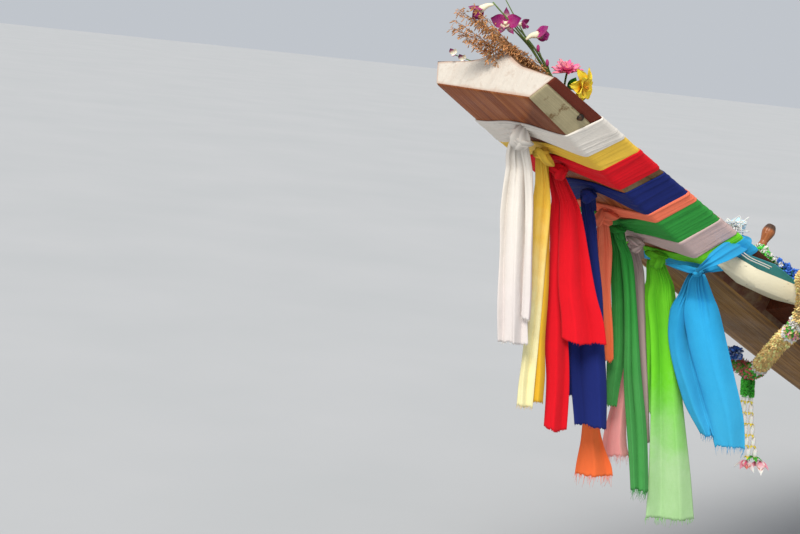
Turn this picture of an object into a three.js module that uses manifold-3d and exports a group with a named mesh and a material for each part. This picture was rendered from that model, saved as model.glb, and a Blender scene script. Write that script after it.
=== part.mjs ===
// A wooden longtail boat: raked stem dressed with cloth scarves, planked hull and a tilting engine.
// Millimetres, +X to the bow, +Y to port, +Z up. The origin is amidships on the waterline.
import * as THREE from 'three';
import { mergeVertices } from 'three/addons/utils/BufferGeometryUtils.js';
import Module from 'manifold-3d';

const wasm = await Module();
wasm.setup();

// Driving dimensions
const HEAD = { x: 4900, z: 1425 };       // lower edge of the stem's head
const TRANSOM_X = -4700;
const TRANSOM_THICK = 45;
const GAP = 0.4;                         // between pieces that touch
const SEAM = 1.2;                        // between two planks
const PLANK = 24;                        // plank thickness
const LANDING = 14;                      // planks start this far above the keel's lower face
const RAIL = { high: 45, out: 24, wide: 95, round: 8, tip: 4262, taper: 40 };
const RUB = { below: 300, high: 42, out: 26, edge: 18, gap: 0.9, least: 170 };
const RIB = { deep: 35, wide: 40, pitch: 520, first: 200, clear: 100 };
const FRAMES_MEET = -450;                // the inwale and riser are in two lengths
const INWALE = { thick: 28, high: 60 };
const RISER = { thick: 28, high: 45 };
const DECK = { thick: 24, under: 5, crown: 12 };
const FOREDECK_END = 2500;
const AFT_DECK = { z: 520, front: -3450 };
const SOLE = { z: -80, thick: 24, aft: -3400, front: 2440, overKeel: 12 };
const THWART = { z: 430, thick: 30, wide: 250, x: [1500, 0, -1500] };
const PIVOT = { x: -4520, z: 1100 };     // tilt axis of the engine
const CRANK = 150;                       // crankshaft above the tilt axis
const TAIL = 3300;                       // propeller behind the tilt axis
const TUBE_R = 38;
const PROP_R = 140;

// Colours of the finishes
const COLOUR = {
  varnish: 0x6b3a2c, strake: 0x43221a, white: 0xe8e4da, cream: 0xe6dcc0, turquoise: 0x2c9fa3,
  blue: 0x2f66a8, sole: 0x8a6a4a, iron: 0x2e2c2a, grease: 0x4b4640, steel: 0x6f6b66,
  rust: 0x6a4330, aluminium: 0x9a9a96, brass: 0xb08d45, teakOrange: 0xb5652b,
  orchid: 0xc2407e, marigold: 0xd6a531, petals: 0xe4e4d4,
};

// Rake of the stem and keel: distance along it from the head, angle below level in degrees
const RAKE = [[0, 30.8], [1200, 27.5], [3290, 20], [5300, 0], [7600, 0], [10400, -3.2]];

// Stem and keel plank: distance along, half width, depth, flare of the sides, ridge on top
const SPINE = [
  [0, 160, 60, 43, 42], [220, 152, 74, 43, 42], [450, 144, 86, 43, 42], [760, 147, 100, 43, 42],
  [1100, 150, 110, 43, 42], [1400, 150, 112, 32, 26], [1700, 146, 105, 16, 2], [2400, 134, 98, 2, 2],
  [3300, 118, 84, 2, 2], [4300, 100, 72, 2, 2], [5300, 92, 66, 2, 2], [11000, 90, 64, 2, 2],
];
const STEM_LENGTH = 3300;
const FACET = { across: 0.42, high: 0.36 };   // where the ridge's slope breaks, as shares of it

// Hull stations: x, half beam and height of the sheer, fullness of the section (1 is round)
const HULL = [
  [4260, 149, 1030, 0.05], [4054, 238, 985, 0.08], [3700, 372, 934, 0.12], [3200, 520, 868, 0.2],
  [2500, 680, 792, 0.33], [1600, 822, 716, 0.5], [600, 905, 662, 0.66], [-400, 930, 640, 0.74],
  [-1500, 905, 646, 0.76], [-2600, 835, 686, 0.74], [-3600, 735, 756, 0.7], [-4700, 600, 850, 0.64],
];
// Girth from the sheer down to each seam
const SEAMS = [0, 300, 620, 950, 99999];
const PLANK_END = 18;                    // a plank runs out where it is this wide
const FRAME_X = [
  -4700, -4650, -4200, -3700, -3200, -2700, -2200, -1700, -1200, -700, -200, 300, 800, 1200, 1600,
  1900, 2200, 2500, 2800, 3100, 3400, 3600, 3800, 3940, 4040,
];

// Scarves: the band's start and end along the stem, the knot's place across and its radius, the tail's
// width at its top and end, its drop, and how far its end leans to port
const SCARF_COLUMNS = ['name', 'from', 'to', 'colour', 'knot', 'size', 'top', 'end', 'drop', 'lean'];
const SCARVES = [
  ['white', 143, 228, 0xd9d3cc, -8, 28, 60, 70, 440, 24],
  ['yellow', 229, 285, 0xe0ab2c, -4, 22, 44, 62, 560, 30],
  ['red', 286, 371, 0xe3141f, 4, 26, 60, 104, 570, 62],
  ['navy', 386, 485, 0x17225f, 10, 22, 40, 84, 520, 50],
  ['coral', 486, 513, 0xf0613f, -14, 18, 34, 90, 615, 57],
  ['green', 514, 613, 0x2b8a3e, -6, 22, 48, 70, 600, 84],
  ['mauve', 614, 685, 0xb09a97, 4, 18, 34, 60, 500, 30],
  ['lime', 686, 714, 0x6fcf1f, 8, 18, 60, 112, 620, 92],
  ['blue', 715, 765, 0x2f9ad8, 108, 24, 62, 108, 400, 100],
].map((row) => Object.fromEntries(row.map((value, i) => [SCARF_COLUMNS[i], value])));
const SCARF = { thick: 7, slant: 0.42, tailThick: 12, facing: 52 };

// Small maths
const rad = (deg) => deg * Math.PI / 180;
const clamp = (v, lo, hi) => Math.min(hi, Math.max(lo, v));

// Smooth value of one column of a table whose first column rises or falls
function fair(table, column, at) {
  const rising = table[0][0] < table[table.length - 1][0];
  const rows = rising ? table : [...table].reverse();
  const x = rows.map((row) => row[0]);
  const y = rows.map((row) => row[column]);
  const last = x.length - 1;
  if (at <= x[0]) return y[0];
  if (at >= x[last]) return y[last];
  let k = 0;
  while (at > x[k + 1]) k += 1;
  const slope = (i) => {
    const before = (y[i] - y[i - 1]) / (x[i] - x[i - 1]);
    const after = (y[i + 1] - y[i]) / (x[i + 1] - x[i]);
    return before * after <= 0 ? 0 : 2 * before * after / (before + after);
  };
  const span = x[k + 1] - x[k];
  const u = (at - x[k]) / span;
  const endSlope = (i) => (i === 0 || i === last ? (y[k + 1] - y[k]) / span : slope(i));
  const m0 = endSlope(k) * span;
  const m1 = endSlope(k + 1) * span;
  const u2 = u * u;
  const u3 = u2 * u;
  return (2 * u3 - 3 * u2 + 1) * y[k] + (u3 - 2 * u2 + u) * m0
    + (3 * u2 - 2 * u3) * y[k + 1] + (u3 - u2) * m1;
}

// The spine is the lower face of stem and keel, walked in short steps from the head
const STEP = 20;
const spineTrack = (() => {
  const track = [{ s: 0, x: HEAD.x, z: HEAD.z }];
  while (track[track.length - 1].x > TRANSOM_X - 200) {
    const { s, x, z } = track[track.length - 1];
    const angle = rad(fair(RAKE, 1, s + STEP / 2));
    track.push({ s: s + STEP, x: x - STEP * Math.cos(angle), z: z - STEP * Math.sin(angle) });
  }
  return track;
})();

function spineAt(s) {
  const k = clamp(Math.floor(s / STEP), 0, spineTrack.length - 2);
  const u = s / STEP - k;
  const [a, b] = [spineTrack[k], spineTrack[k + 1]];
  return { x: a.x + (b.x - a.x) * u, z: a.z + (b.z - a.z) * u, angle: rad(fair(RAKE, 1, s)) };
}

function spineLength(x) {
  let k = 0;
  while (spineTrack[k + 1].x > x) k += 1;
  const [a, b] = [spineTrack[k], spineTrack[k + 1]];
  return a.s + STEP * (a.x - x) / (a.x - b.x);
}

// A point on the spine: distance along, across to port, and up from its lower face
function onSpine(s, across, up) {
  const { x, z, angle } = spineAt(s);
  return [x - up * Math.sin(angle), across, z + up * Math.cos(angle)];
}

// Closed solid through rings of equal count, with flat ends
function loft(rings) {
  const count = rings[0].length;
  const points = rings.flat();
  const faces = [];
  for (let r = 0; r < rings.length - 1; r += 1) {
    for (let i = 0; i < count; i += 1) {
      const j = (i + 1) % count;
      const [a, b, c, d] = [r * count + i, r * count + j, (r + 1) * count + j, (r + 1) * count + i];
      faces.push([a, b, c], [a, c, d]);
    }
  }
  const startCap = flatCap(rings[0]);
  const endCap = flatCap(rings[rings.length - 1]);
  const shift = (rings.length - 1) * count;
  startCap.forEach(([a, b, c]) => faces.push([a, c, b]));
  endCap.forEach(([a, b, c]) => faces.push([a + shift, b + shift, c + shift]));
  return closedGeometry(points, faces);
}

function flatCap(ring) {
  const normal = new THREE.Vector3();
  ring.forEach((p, i) => {
    const q = ring[(i + 1) % ring.length];
    normal.x += (p[1] - q[1]) * (p[2] + q[2]);
    normal.y += (p[2] - q[2]) * (p[0] + q[0]);
    normal.z += (p[0] - q[0]) * (p[1] + q[1]);
  });
  normal.normalize();
  const helper = Math.abs(normal.x) < 0.8 ? new THREE.Vector3(1, 0, 0) : new THREE.Vector3(0, 1, 0);
  const u = helper.cross(normal).normalize();
  const v = normal.clone().cross(u);
  const flat = ring.map((p) => {
    const q = new THREE.Vector3(...p);
    return new THREE.Vector2(q.dot(u), q.dot(v));
  });
  return THREE.ShapeUtils.triangulateShape(flat, []);
}

function closedGeometry(points, faces) {
  let volume = 0;
  faces.forEach(([a, b, c]) => {
    const [p, q, r] = [points[a], points[b], points[c]].map((v) => new THREE.Vector3(...v));
    volume += p.dot(q.cross(r));
  });
  const geometry = new THREE.BufferGeometry();
  geometry.setAttribute('position', new THREE.Float32BufferAttribute(points.flat(), 3));
  geometry.setIndex(faces.flatMap(([a, b, c]) => (volume > 0 ? [a, b, c] : [a, c, b])));
  return geometry;
}

// Booleans
function toManifold(geometry) {
  const plain = geometry.clone();
  plain.deleteAttribute('normal');
  plain.deleteAttribute('uv');
  const merged = mergeVertices(plain, 1e-4);
  return new wasm.Manifold(new wasm.Mesh({
    numProp: 3,
    vertProperties: new Float32Array(merged.attributes.position.array),
    triVerts: new Uint32Array(merged.index.array),
  }));
}

function fromManifold(solid) {
  const { vertProperties, triVerts } = solid.getMesh();
  const geometry = new THREE.BufferGeometry();
  geometry.setAttribute('position', new THREE.BufferAttribute(new Float32Array(vertProperties), 3));
  geometry.setIndex(new THREE.BufferAttribute(new Uint32Array(triVerts), 1));
  return geometry;
}

function join(...geometries) {
  return fromManifold(geometries.map(toManifold).reduce((a, b) => a.add(b)));
}

function cut(geometry, ...tools) {
  return fromManifold(tools.reduce((solid, tool) => solid.subtract(toManifold(tool)), toManifold(geometry)));
}

// Turns a closed geometry's faces outward
function facingOut(geometry) {
  const merged = geometry.index ? geometry : mergeVertices(geometry);
  const at = merged.attributes.position;
  const index = merged.index.array;
  let volume = 0;
  for (let i = 0; i < index.length; i += 3) {
    const [p, q, r] = [0, 1, 2].map((k) => new THREE.Vector3().fromBufferAttribute(at, index[i + k]));
    volume += p.dot(q.cross(r));
  }
  if (volume < 0) {
    for (let i = 0; i < index.length; i += 3) [index[i], index[i + 1]] = [index[i + 1], index[i]];
  }
  return merged;
}

// Simple forms, each placed where it belongs
function block(sx, sy, sz, x, y, z) {
  return new THREE.BoxGeometry(sx, sy, sz).translate(x, y, z);
}

function rod(from, to, radius, sides = 12) {
  const a = new THREE.Vector3(...from);
  const b = new THREE.Vector3(...to);
  const along = b.clone().sub(a);
  const up = new THREE.Vector3(0, 1, 0);
  const turn = new THREE.Quaternion().setFromUnitVectors(up, along.clone().normalize());
  return new THREE.CylinderGeometry(radius, radius, along.length(), sides)
    .applyQuaternion(turn).translate(...a.add(b).multiplyScalar(0.5).toArray());
}

function pipe(points, radius, sides, steps) {
  const route = new THREE.CatmullRomCurve3(points.map((p) => new THREE.Vector3(...p)), false, 'centripetal');
  const section = new THREE.Shape();
  section.absarc(0, 0, radius, 0, 2 * Math.PI, false);
  return facingOut(new THREE.ExtrudeGeometry(section, {
    curveSegments: sides / 2, steps, extrudePath: route, bevelEnabled: false,
  }));
}

function turned(profile, sides = 14) {
  return facingOut(new THREE.LatheGeometry(profile.map(([r, y]) => new THREE.Vector2(r, y)), sides));
}

// Section of the hull: t runs from the landing on the keel at 0 to the sheer at 1
function section(x) {
  const s = spineLength(x);
  const keel = spineAt(s).z;
  const y0 = fair(SPINE, 1, s) + GAP;
  const z0 = keel + LANDING;
  return {
    y0, z0, keel,
    y1: Math.max(fair(HULL, 1, x), y0 + 4),
    z1: Math.max(fair(HULL, 2, x), z0 + 4),
    full: fair(HULL, 3, x),
    keelTop: keel + fair(SPINE, 2, s),
  };
}

function outer(x, t) {
  const { y0, z0, y1, z1, full } = section(x);
  const angle = t * Math.PI / 2;
  const wide = (1 - full) * t + full * Math.sin(angle);
  const high = (1 - full) * t + full * (1 - Math.cos(angle));
  return [y0 + (y1 - y0) * wide, z0 + (z1 - z0) * high];
}

// A point of the section moved inboard by a depth, square to the planking
function inboard(x, t, depth) {
  const lo = outer(x, clamp(t - 0.02, 0, 1));
  const hi = outer(x, clamp(t + 0.02, 0, 1));
  const length = Math.hypot(hi[0] - lo[0], hi[1] - lo[1]);
  const at = outer(x, t);
  return [at[0] - depth * (hi[1] - lo[1]) / length, at[1] + depth * (hi[0] - lo[0]) / length];
}

function girth(x) {
  const steps = 16;
  let sum = 0;
  for (let i = 0; i < steps; i += 1) {
    const a = outer(x, i / steps);
    const b = outer(x, (i + 1) / steps);
    sum += Math.hypot(b[0] - a[0], b[1] - a[1]);
  }
  return sum;
}

// The t of a height on the inner face at some depth
function heightToT(x, z, depth) {
  let lo = 0;
  let hi = 1;
  for (let i = 0; i < 30; i += 1) {
    const mid = (lo + hi) / 2;
    if (inboard(x, mid, depth)[1] < z) lo = mid;
    else hi = mid;
  }
  return (lo + hi) / 2;
}

const seamT = (x, below) => clamp(1 - below / girth(x), 0, 1);

// The x at which a seam runs out on the stem
function seamEnd(below) {
  let lo = 0;
  let hi = FRAME_X[FRAME_X.length - 1];
  if (girth(hi) > below + PLANK_END) return hi;
  for (let i = 0; i < 30; i += 1) {
    const mid = (lo + hi) / 2;
    if (girth(mid) > below + PLANK_END) lo = mid;
    else hi = mid;
  }
  return lo;
}

const PLANK_X = [...FRAME_X, ...SEAMS.slice(1, 4).map(seamEnd)].sort((a, b) => a - b);

// Mirror a list of [x, y, z] to the side: 1 is port, -1 is starboard
const toSide = (rings, side) => rings.map((ring) => ring.map(([x, y, z]) => [x, y * side, z]));

function spineRing(s, grow) {
  const half = fair(SPINE, 1, s) + grow;
  const deep = fair(SPINE, 2, s);
  const flare = fair(SPINE, 3, s);
  const ridge = fair(SPINE, 4, s);
  const top = deep + grow;
  return [
    onSpine(s, -half, -grow), onSpine(s, half, -grow), onSpine(s, half + flare, top),
    onSpine(s, (half + flare) * FACET.across, top + ridge * FACET.high), onSpine(s, 0, top + ridge),
    onSpine(s, -(half + flare) * FACET.across, top + ridge * FACET.high), onSpine(s, -half - flare, top),
  ];
}

function spineSolid(from, to, grow) {
  const marks = [from, ...SPINE.map((row) => row[0]).filter((s) => s > from && s < to), to];
  const fine = marks.flatMap((s, i) => {
    if (i === 0) return [s];
    const pieces = Math.max(1, Math.round((s - marks[i - 1]) / 520));
    return Array.from({ length: pieces }, (_, k) => marks[i - 1] + (s - marks[i - 1]) * (k + 1) / pieces);
  });
  return loft(fine.map((s) => spineRing(s, grow)));
}

const KEEL_END = spineLength(TRANSOM_X);
const spineRoom = spineSolid(-50, KEEL_END + 60, GAP);

function stemPost() {
  return spineSolid(0, STEM_LENGTH - GAP, 0);
}

function keelPlank() {
  return spineSolid(STEM_LENGTH, KEEL_END, 0);
}

const railInner = (x) => Math.max(section(x).y1 + RAIL.out - RAIL.wide, 60);

// Cap rail on the planks' upper edge, rounded outboard, with its nose on the stem
function gunwale(side, grow = 0) {
  const rings = [...FRAME_X, RAIL.tip - 102, RAIL.tip - 37, RAIL.tip - 12].map((x) => {
    const { y1, z1, keel } = section(x);
    const nose = clamp((RAIL.tip - x) / RAIL.taper, 0.35, 1);
    const bottom = Math.max(z1, keel + 4) + GAP - grow;
    const top = bottom + RAIL.high * nose + 2 * grow;
    const out = y1 + RAIL.out * nose + grow;
    const inner = railInner(x) - grow;
    const mid = (bottom + top) / 2;
    return [[x, inner, bottom], [x, out - 5, bottom], [x, out, bottom + RAIL.round], [x, out + 2, mid],
      [x, out, top - RAIL.round * nose], [x, out - 6, top], [x, inner, top]];
  });
  return cut(loft(toSide(rings, side)), spineRoom);
}

const railRoom = join(gunwale(1, GAP), gunwale(-1, GAP));

// One plank of the side, between two seams, with its faces moved out by some growth
function plank(index, side, grow) {
  const end = index === 0 ? FRAME_X[FRAME_X.length - 1] : seamEnd(SEAMS[index]);
  const rings = PLANK_X.filter((x) => x <= end + 0.01).map((x) => {
    const half = (SEAM / 2 - 2 * grow) / girth(x);
    const middle = (seamT(x, SEAMS[index]) + seamT(x, SEAMS[index + 1])) / 2;
    const hi = clamp(seamT(x, SEAMS[index]) - (index === 0 ? 0 : half), 0, 1);
    const lo = clamp(seamT(x, SEAMS[index + 1]) + half, 0, 1);
    const outside = [lo, middle, hi].map((t) => [x, ...inboard(x, t, -grow)]);
    const depth = PLANK + grow;
    const level = index === 0 ? heightToT(x, section(x).z1 + grow, depth) : hi;
    const inTop = Math.max(level, lo + (hi - lo) * 0.4);
    const inside = [lo, (lo + inTop) / 2, inTop].map((t) => [x, ...inboard(x, t, depth)]);
    return [...outside, ...inside.reverse()];
  });
  return loft(toSide(rings, side));
}

const sides = [1, -1];
const plankRoom = join(...sides.flatMap((side) => [0, 1, 2, 3].map((index) => plank(index, side, GAP))));

function strake(index, side) {
  const rooms = index === 0 ? [spineRoom, railRoom] : [spineRoom];
  return cut(plank(index, side, 0), ...rooms);
}

// The rub rail covers the seam under the sheer strake
function rubRail(side) {
  const rows = PLANK_X.filter((x) => girth(x) > RUB.below + RUB.least);
  const rings = rows.map((x) => {
    const length = girth(x);
    const hi = clamp(1 - (RUB.below - RUB.high / 2) / length, 0, 1);
    const lo = clamp(1 - (RUB.below + RUB.high / 2) / length, 0, 1);
    const at = (t, out) => [x, ...inboard(x, t, -out)];
    const seam = (lo + hi) / 2;
    return [at(lo, RUB.gap), at(lo, RUB.edge), at(seam, RUB.out), at(hi, RUB.edge),
      at(hi, RUB.gap), at(seam, RUB.gap)];
  });
  return loft(toSide(rings, side));
}

// A point on the inner face at some height, after moving inboard by a depth
const atHeight = (x, z, depth) => [x, inboard(x, heightToT(x, z, depth), depth)[0], z];

// Ribs, inwale and the riser that carries the thwarts, fastened together on one side over a length
function sideFrame(side, [aft, fore]) {
  const into = PLANK - 4;
  const ends = [aft, ...FRAME_X.filter((x) => x > aft + 60 && x < fore - 60), fore];
  const stringer = (level, high, thick) => loft(toSide(ends.map((x) => {
    const top = atHeight(x, level(x), PLANK + RIB.deep - 3);
    const low = atHeight(x, level(x) - high, PLANK + RIB.deep - 3);
    return [low, [x, low[1] - thick, low[2]], [x, top[1] - thick, top[2]], top];
  }), side));
  const sheer = (x) => section(x).z1 - 5;
  const seat = () => THWART.z - THWART.thick - GAP;
  const ribs = [];
  const firstRib = AFT_DECK.front + RIB.first;
  for (let x = firstRib; x < fore - RIB.clear; x += RIB.pitch) {
    if (x < aft) continue;
    const rings = [0, 0.15, 0.4, 0.7, 1].map((k) => {
      const corner = (at, depth) => {
        const floor = soleLevel(at) + GAP;
        return atHeight(at, floor + (sheer(at) - floor) * k, depth);
      };
      return [corner(x, into), corner(x + RIB.wide, into), corner(x + RIB.wide, PLANK + RIB.deep),
        corner(x, PLANK + RIB.deep)];
    });
    ribs.push(loft(toSide(rings, side)));
  }
  const inwale = stringer(sheer, INWALE.high, INWALE.thick);
  const riser = stringer(seat, RISER.high, RISER.thick);
  return cut(join(inwale, riser, ...ribs), plankRoom);
}

function soleTop(x) {
  return Math.max(SOLE.z, section(x).keelTop + SOLE.overKeel + SOLE.thick);
}

const SOLE_X = [SOLE.aft, ...FRAME_X.filter((x) => x > SOLE.aft + 50 && x < SOLE.front - 50), SOLE.front];

// Top of the sole, straight between its stations
function soleLevel(x) {
  const k = clamp(SOLE_X.findIndex((at) => at >= x), 1, SOLE_X.length - 1);
  const [a, b] = [SOLE_X[k - 1], SOLE_X[k]];
  return soleTop(a) + (soleTop(b) - soleTop(a)) * (x - a) / (b - a);
}

function soleBoards() {
  const rings = SOLE_X.map((x) => {
    const top = soleTop(x);
    const bottom = top - SOLE.thick;
    const y = atHeight(x, bottom, PLANK)[1] + 6;
    return [[x, -y, bottom], [x, y, bottom], [x, y, top], [x, -y, top]];
  });
  return cut(loft(rings), plankRoom);
}

// Deck between the rails, crowned in the middle
function deckRings(xs, top, edge) {
  return xs.map((x) => {
    const y = edge(x);
    const z = top(x);
    return [[x, -y, z - DECK.thick], [x, y, z - DECK.thick], [x, y, z], [x, 0, z + DECK.crown], [x, -y, z]];
  });
}

// Height of a crowned deck above its edge
const crown = (y, edge) => DECK.crown * (1 - Math.abs(y) / edge);

const foreTop = (x) => section(x).z1 + RAIL.high - DECK.under;

function foredeck() {
  const xs = [FOREDECK_END, ...FRAME_X.filter((x) => x > FOREDECK_END + 40), 4120];
  return cut(loft(deckRings(xs, foreTop, (x) => railInner(x) - GAP)), spineRoom);
}

function aftDeck() {
  const xs = [TRANSOM_X + TRANSOM_THICK + 3, -4200, -3700, AFT_DECK.front];
  const edge = (x) => atHeight(x, AFT_DECK.z, PLANK)[1] + 2;
  return cut(loft(deckRings(xs, () => AFT_DECK.z, edge)), plankRoom);
}

// A board across the hull that fills its section up to a height
function crossBoard(x0, x1, top) {
  const into = PLANK - 6;
  const rings = [x0, x1].map((x) => {
    const lo = heightToT(x, section(x).keelTop + 4, into);
    const hi = heightToT(x, top, into);
    const port = [0, 0.25, 0.5, 0.75].map((k) => [x, ...inboard(x, lo + (hi - lo) * k, into)]);
    port.push(atHeight(x, top, into));
    const starboard = port.map(([px, y, z]) => [px, -y, z]).reverse();
    return [...port, ...starboard];
  });
  return cut(loft(rings), spineRoom, plankRoom);
}

function transom() {
  return crossBoard(TRANSOM_X + 2, TRANSOM_X + 2 + TRANSOM_THICK, fair(HULL, 2, TRANSOM_X) - 8);
}

// The bulkhead's beam meets the deck between the rails
function foreBulkhead() {
  const { z1 } = section(FOREDECK_END);
  const board = crossBoard(FOREDECK_END + 4, FOREDECK_END + 28, z1 - 4);
  const half = railInner(FOREDECK_END + 28) - 3;
  const top = Math.min(foreTop(FOREDECK_END + 4), foreTop(FOREDECK_END + 28)) - DECK.thick - GAP;
  const low = z1 - 40;
  return join(board, block(24, 2 * half, top - low, FOREDECK_END + 16, 0, (top + low) / 2));
}

function aftBulkhead() {
  return crossBoard(AFT_DECK.front - 30, AFT_DECK.front - 6, AFT_DECK.z - DECK.thick - GAP);
}

function thwart(x) {
  const rings = [x - THWART.wide / 2, x + THWART.wide / 2].map((at) => {
    const y = atHeight(at, THWART.z - THWART.thick, PLANK + RIB.deep)[1] - 6;
    return [[at, -y, THWART.z - THWART.thick], [at, y, THWART.z - THWART.thick],
      [at, y, THWART.z], [at, -y, THWART.z]];
  });
  return loft(rings);
}

// Square post with a chamfered head
function post(wide, high) {
  const half = wide / 2;
  const chamfer = 16;
  const rings = [[half, 0], [half, high - chamfer], [half - chamfer, high]].map(([h, z]) => [
    [-h, -h, z], [h, -h, z], [h, h, z], [-h, h, z]]);
  return loft(rings);
}

// Turned peg on the stem's ridge: its place along the stem, then radius and height
const PEG_S = 1038;
const PEG = [
  [0, 0], [17, 0], [17, 10], [12, 18], [14, 42], [10, 58], [15, 74], [17, 88], [12, 104], [0, 108],
];

const stemRoom = spineSolid(-50, 1400, 1);

// A scarf: a band round the stem, a knot under it and a tail that hangs
function scarf({ from, to, knot, size, top, end, drop, lean }) {
  const ring = (s, grow) => {
    const { angle } = spineAt(s);
    return spineRing(s, grow).map((p, i, all) => {
      const up = (p[2] - all[0][2]) / Math.cos(angle);
      const shift = up * SCARF.slant;
      return [p[0] - shift * Math.cos(angle), p[1], p[2] - shift * Math.sin(angle)];
    });
  };
  const band = loft([ring(from, SCARF.thick), ring(to, SCARF.thick)]);
  const middle = (from + to) / 2;
  const [kx, ky, kz] = onSpine(middle, knot, -size * 1.15);
  const bundle = new THREE.SphereGeometry(size, 8, 6).scale(0.9, 1, 1.1).translate(kx, ky, kz);
  const across = [-Math.sin(rad(SCARF.facing)), Math.cos(rad(SCARF.facing))];
  const through = [Math.cos(rad(SCARF.facing)), Math.sin(rad(SCARF.facing))];
  const rings = [0, 0.3, 0.65, 1].map((k) => {
    const half = k === 0 ? size * 0.6 : (top + (end - top) * k) / 2;
    const thick = SCARF.tailThick / 2;
    const middleX = kx + lean * k * across[0];
    const middleY = ky + lean * k * across[1];
    return [[-1, -1], [1, -1], [1, 1], [-1, 1]].map(([a, b]) => [
      middleX + a * half * across[0] + b * thick * through[0],
      middleY + a * half * across[1] + b * thick * through[1], kz - drop * k]);
  });
  return cut(join(band, bundle, loft(rings)), stemRoom, railRoom);
}

// Flowers on the stem's head: place behind and above the head, across, and radius
const BLOOMS = [
  [-52, 0, 150, 42], [-120, 20, 130, 48], [-165, 0, 140, 40], [-150, 70, 75, 48], [-170, 110, 60, 34],
  [20, -10, 150, 34], [-20, 0, 90, 40],
];

const STEMS = [[-150, 0, 44], [-90, 0, 120], 20];
const SPRIG = [[-60, 0, 120], [66, -6, 182], 14];

function bouquet() {
  const [stems, sprig] = [STEMS, SPRIG].map(([from, to, radius]) => rod(from, to, radius, 8)
    .translate(HEAD.x, 0, HEAD.z));
  const heads = BLOOMS.map(([x, y, z, r]) => new THREE.SphereGeometry(r, 7, 5)
    .translate(HEAD.x + x, y, HEAD.z + z));
  return cut(join(stems, sprig, ...heads), stemRoom);
}

// Neck garland: from the foredeck over the rails, then down and under the stem
const GARLAND_R = 22;
const GARLAND_PORT = [
  [3975, 222, 1040.6], [4018, 246, 1049], [4058, 274, 1052], [4084, 302, 1026], [4092, 312, 985],
  [4068, 276, 935], [4015, 200, 887], [3955, 115, 828], [3895, 30, 768],
];
const GARLAND_LOW = [3884, 0, 757];

function neckGarland() {
  const starboard = GARLAND_PORT.map(([x, y, z]) => [x, -y, z]).reverse();
  return pipe([...GARLAND_PORT, GARLAND_LOW, ...starboard], GARLAND_R, 12, 28);
}

// The tassel under the garland swings out of plumb, aft and to port
const TASSEL = {
  profile: [[0, 0], [20, -3], [26, -30], [18, -50], [30, -110], [34, -170], [30, -230], [0, -240]],
  swing: 10,
};

function tassel() {
  const [x, , z] = GARLAND_LOW;
  return turned(TASSEL.profile, 10).rotateX(Math.PI / 2 + rad(TASSEL.swing)).rotateZ(rad(SCARF.facing))
    .translate(x, 0, z - GARLAND_R - GAP);
}

const DECK_GARLAND = { route: [[3790, 60], [3740, 110], [3680, 130], [3610, 110], [3560, 60]], radius: 17 };

function deckGarland() {
  const { route, radius } = DECK_GARLAND;
  const above = (x, y) => foreTop(x) + crown(y, railInner(x)) + radius + 1;
  return pipe(route.map(([x, y]) => [x, y, above(x, y)]), radius, 10, 12);
}

// Engine side, in its own frame: origin on the tilt axis, +X forward.
// A box is its length, width and height, then its middle. A bar is its two ends and its radius.
const YOKE = {
  base: [100, 236, 12, 0, 0, -74],
  bearing: [[0, 0, -96], [0, 0, -70], 62],
  cheek: { size: [74, 12, 116], y: 106, z: -22 },
  eye: [[0, -140, 0], [0, 140, 0], 15.2],
};
const CRADLE = {
  rail: { size: [1060, 24, 58], x: 350, y: 83 },
  cross: { size: [40, 166, 46], x: [-160, 420, 860] },
  lug: { size: [60, 414, 16], z: 33 },
  pin: [[0, -124, 0], [0, 124, 0], 14.4],
  saddle: [50, 90, 130, -140, 0, 42],
  collar: { aft: -165, fore: -115, wall: 12, slack: 0.6 },
};
const GUARD = { radius: 11, x: [225, 760], y: 196, foot: 30, high: 470 };
const ENGINE = {
  crankcase: [520, 250, 170, 470, 0, 128],
  cylinders: [480, 190, 130, 470, 0, 270],
  sump: [430, 120, 24, 470, 0, 36],
  alternator: [[600, 158, 190], [720, 158, 190], 52],
  bracket: [60, 60, 60, 650, 118, 180],
  mount: { size: [40, 330, 16], x: [240, 740], under: 41 },
};
const CYLINDERS_TOP = 335;
const HEAD_COVER = {
  head: [470, 180, 60],
  cover: [420, 110, 50],
  sunk: 3,
  cap: { x: 600, radius: 24, from: 430, to: 455 },
};
const BELL = { profile: [[0, 0], [60, 0], [108, 84], [108, 120], [0, 120]], front: 210 };
const PULLEY = { profile: [[0, 0], [80, 0], [80, 12], [66, 20], [80, 28], [80, 40], [0, 40]], back: 730 };
const AIR_CLEANER = { can: [[360, 178, 330], [360, 178, 440], 66], neck: [60, 40, 40, 360, 110 + GAP, 368] };
const MANIFOLD = { log: [400, 44, 50, 470, -117 - GAP, 300], outlet: [70, 60, 60, 300, -150, 300] };
const EXHAUST = {
  route: [[264.6, -150, 300], [225, -150, 300], [100, -150, 340], [-500, -150, 620]],
  radius: 26,
  sleeve: [[-80, -150, 424], [-420, -150, 583], 38],
};
const TILLER = {
  route: [[886, 0, 0], [980, 0, 20], [1200, 0, 160], [1750, 0, 330]],
  radius: 17,
  grip: [[1640, 0, 296], [1760, 0, 333], 23],
  flange: [12, 120, 60, 886.5, 0, 0],
};
const SHAFT = {
  front: 89.2,
  behind: 90,
  fin: [260, 12, 190, 250 - TAIL, 0, CRANK - 120],
  skid: [420, 26, 12, 170 - TAIL, 0, CRANK - 216],
};
const COOLING = { radius: 12.5, front: -190, behind: 384 };
const PROPELLER = {
  hub: { radius: 28, half: 50 },
  end: { radius: 14, aft: 80 },
  blade: [[20, 18, 52], [60, 34, 44], [110, 38, 34], [PROP_R, 16, 26]],   // radius, half width, pitch
  half: 3,                                                                // half the blade's thickness
};

function yoke() {
  const { size, y, z } = YOKE.cheek;
  const cheeks = sides.map((side) => block(...size, 0, side * y, z));
  return cut(join(block(...YOKE.base), rod(...YOKE.bearing, 20), ...cheeks), rod(...YOKE.eye, 16));
}

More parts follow.
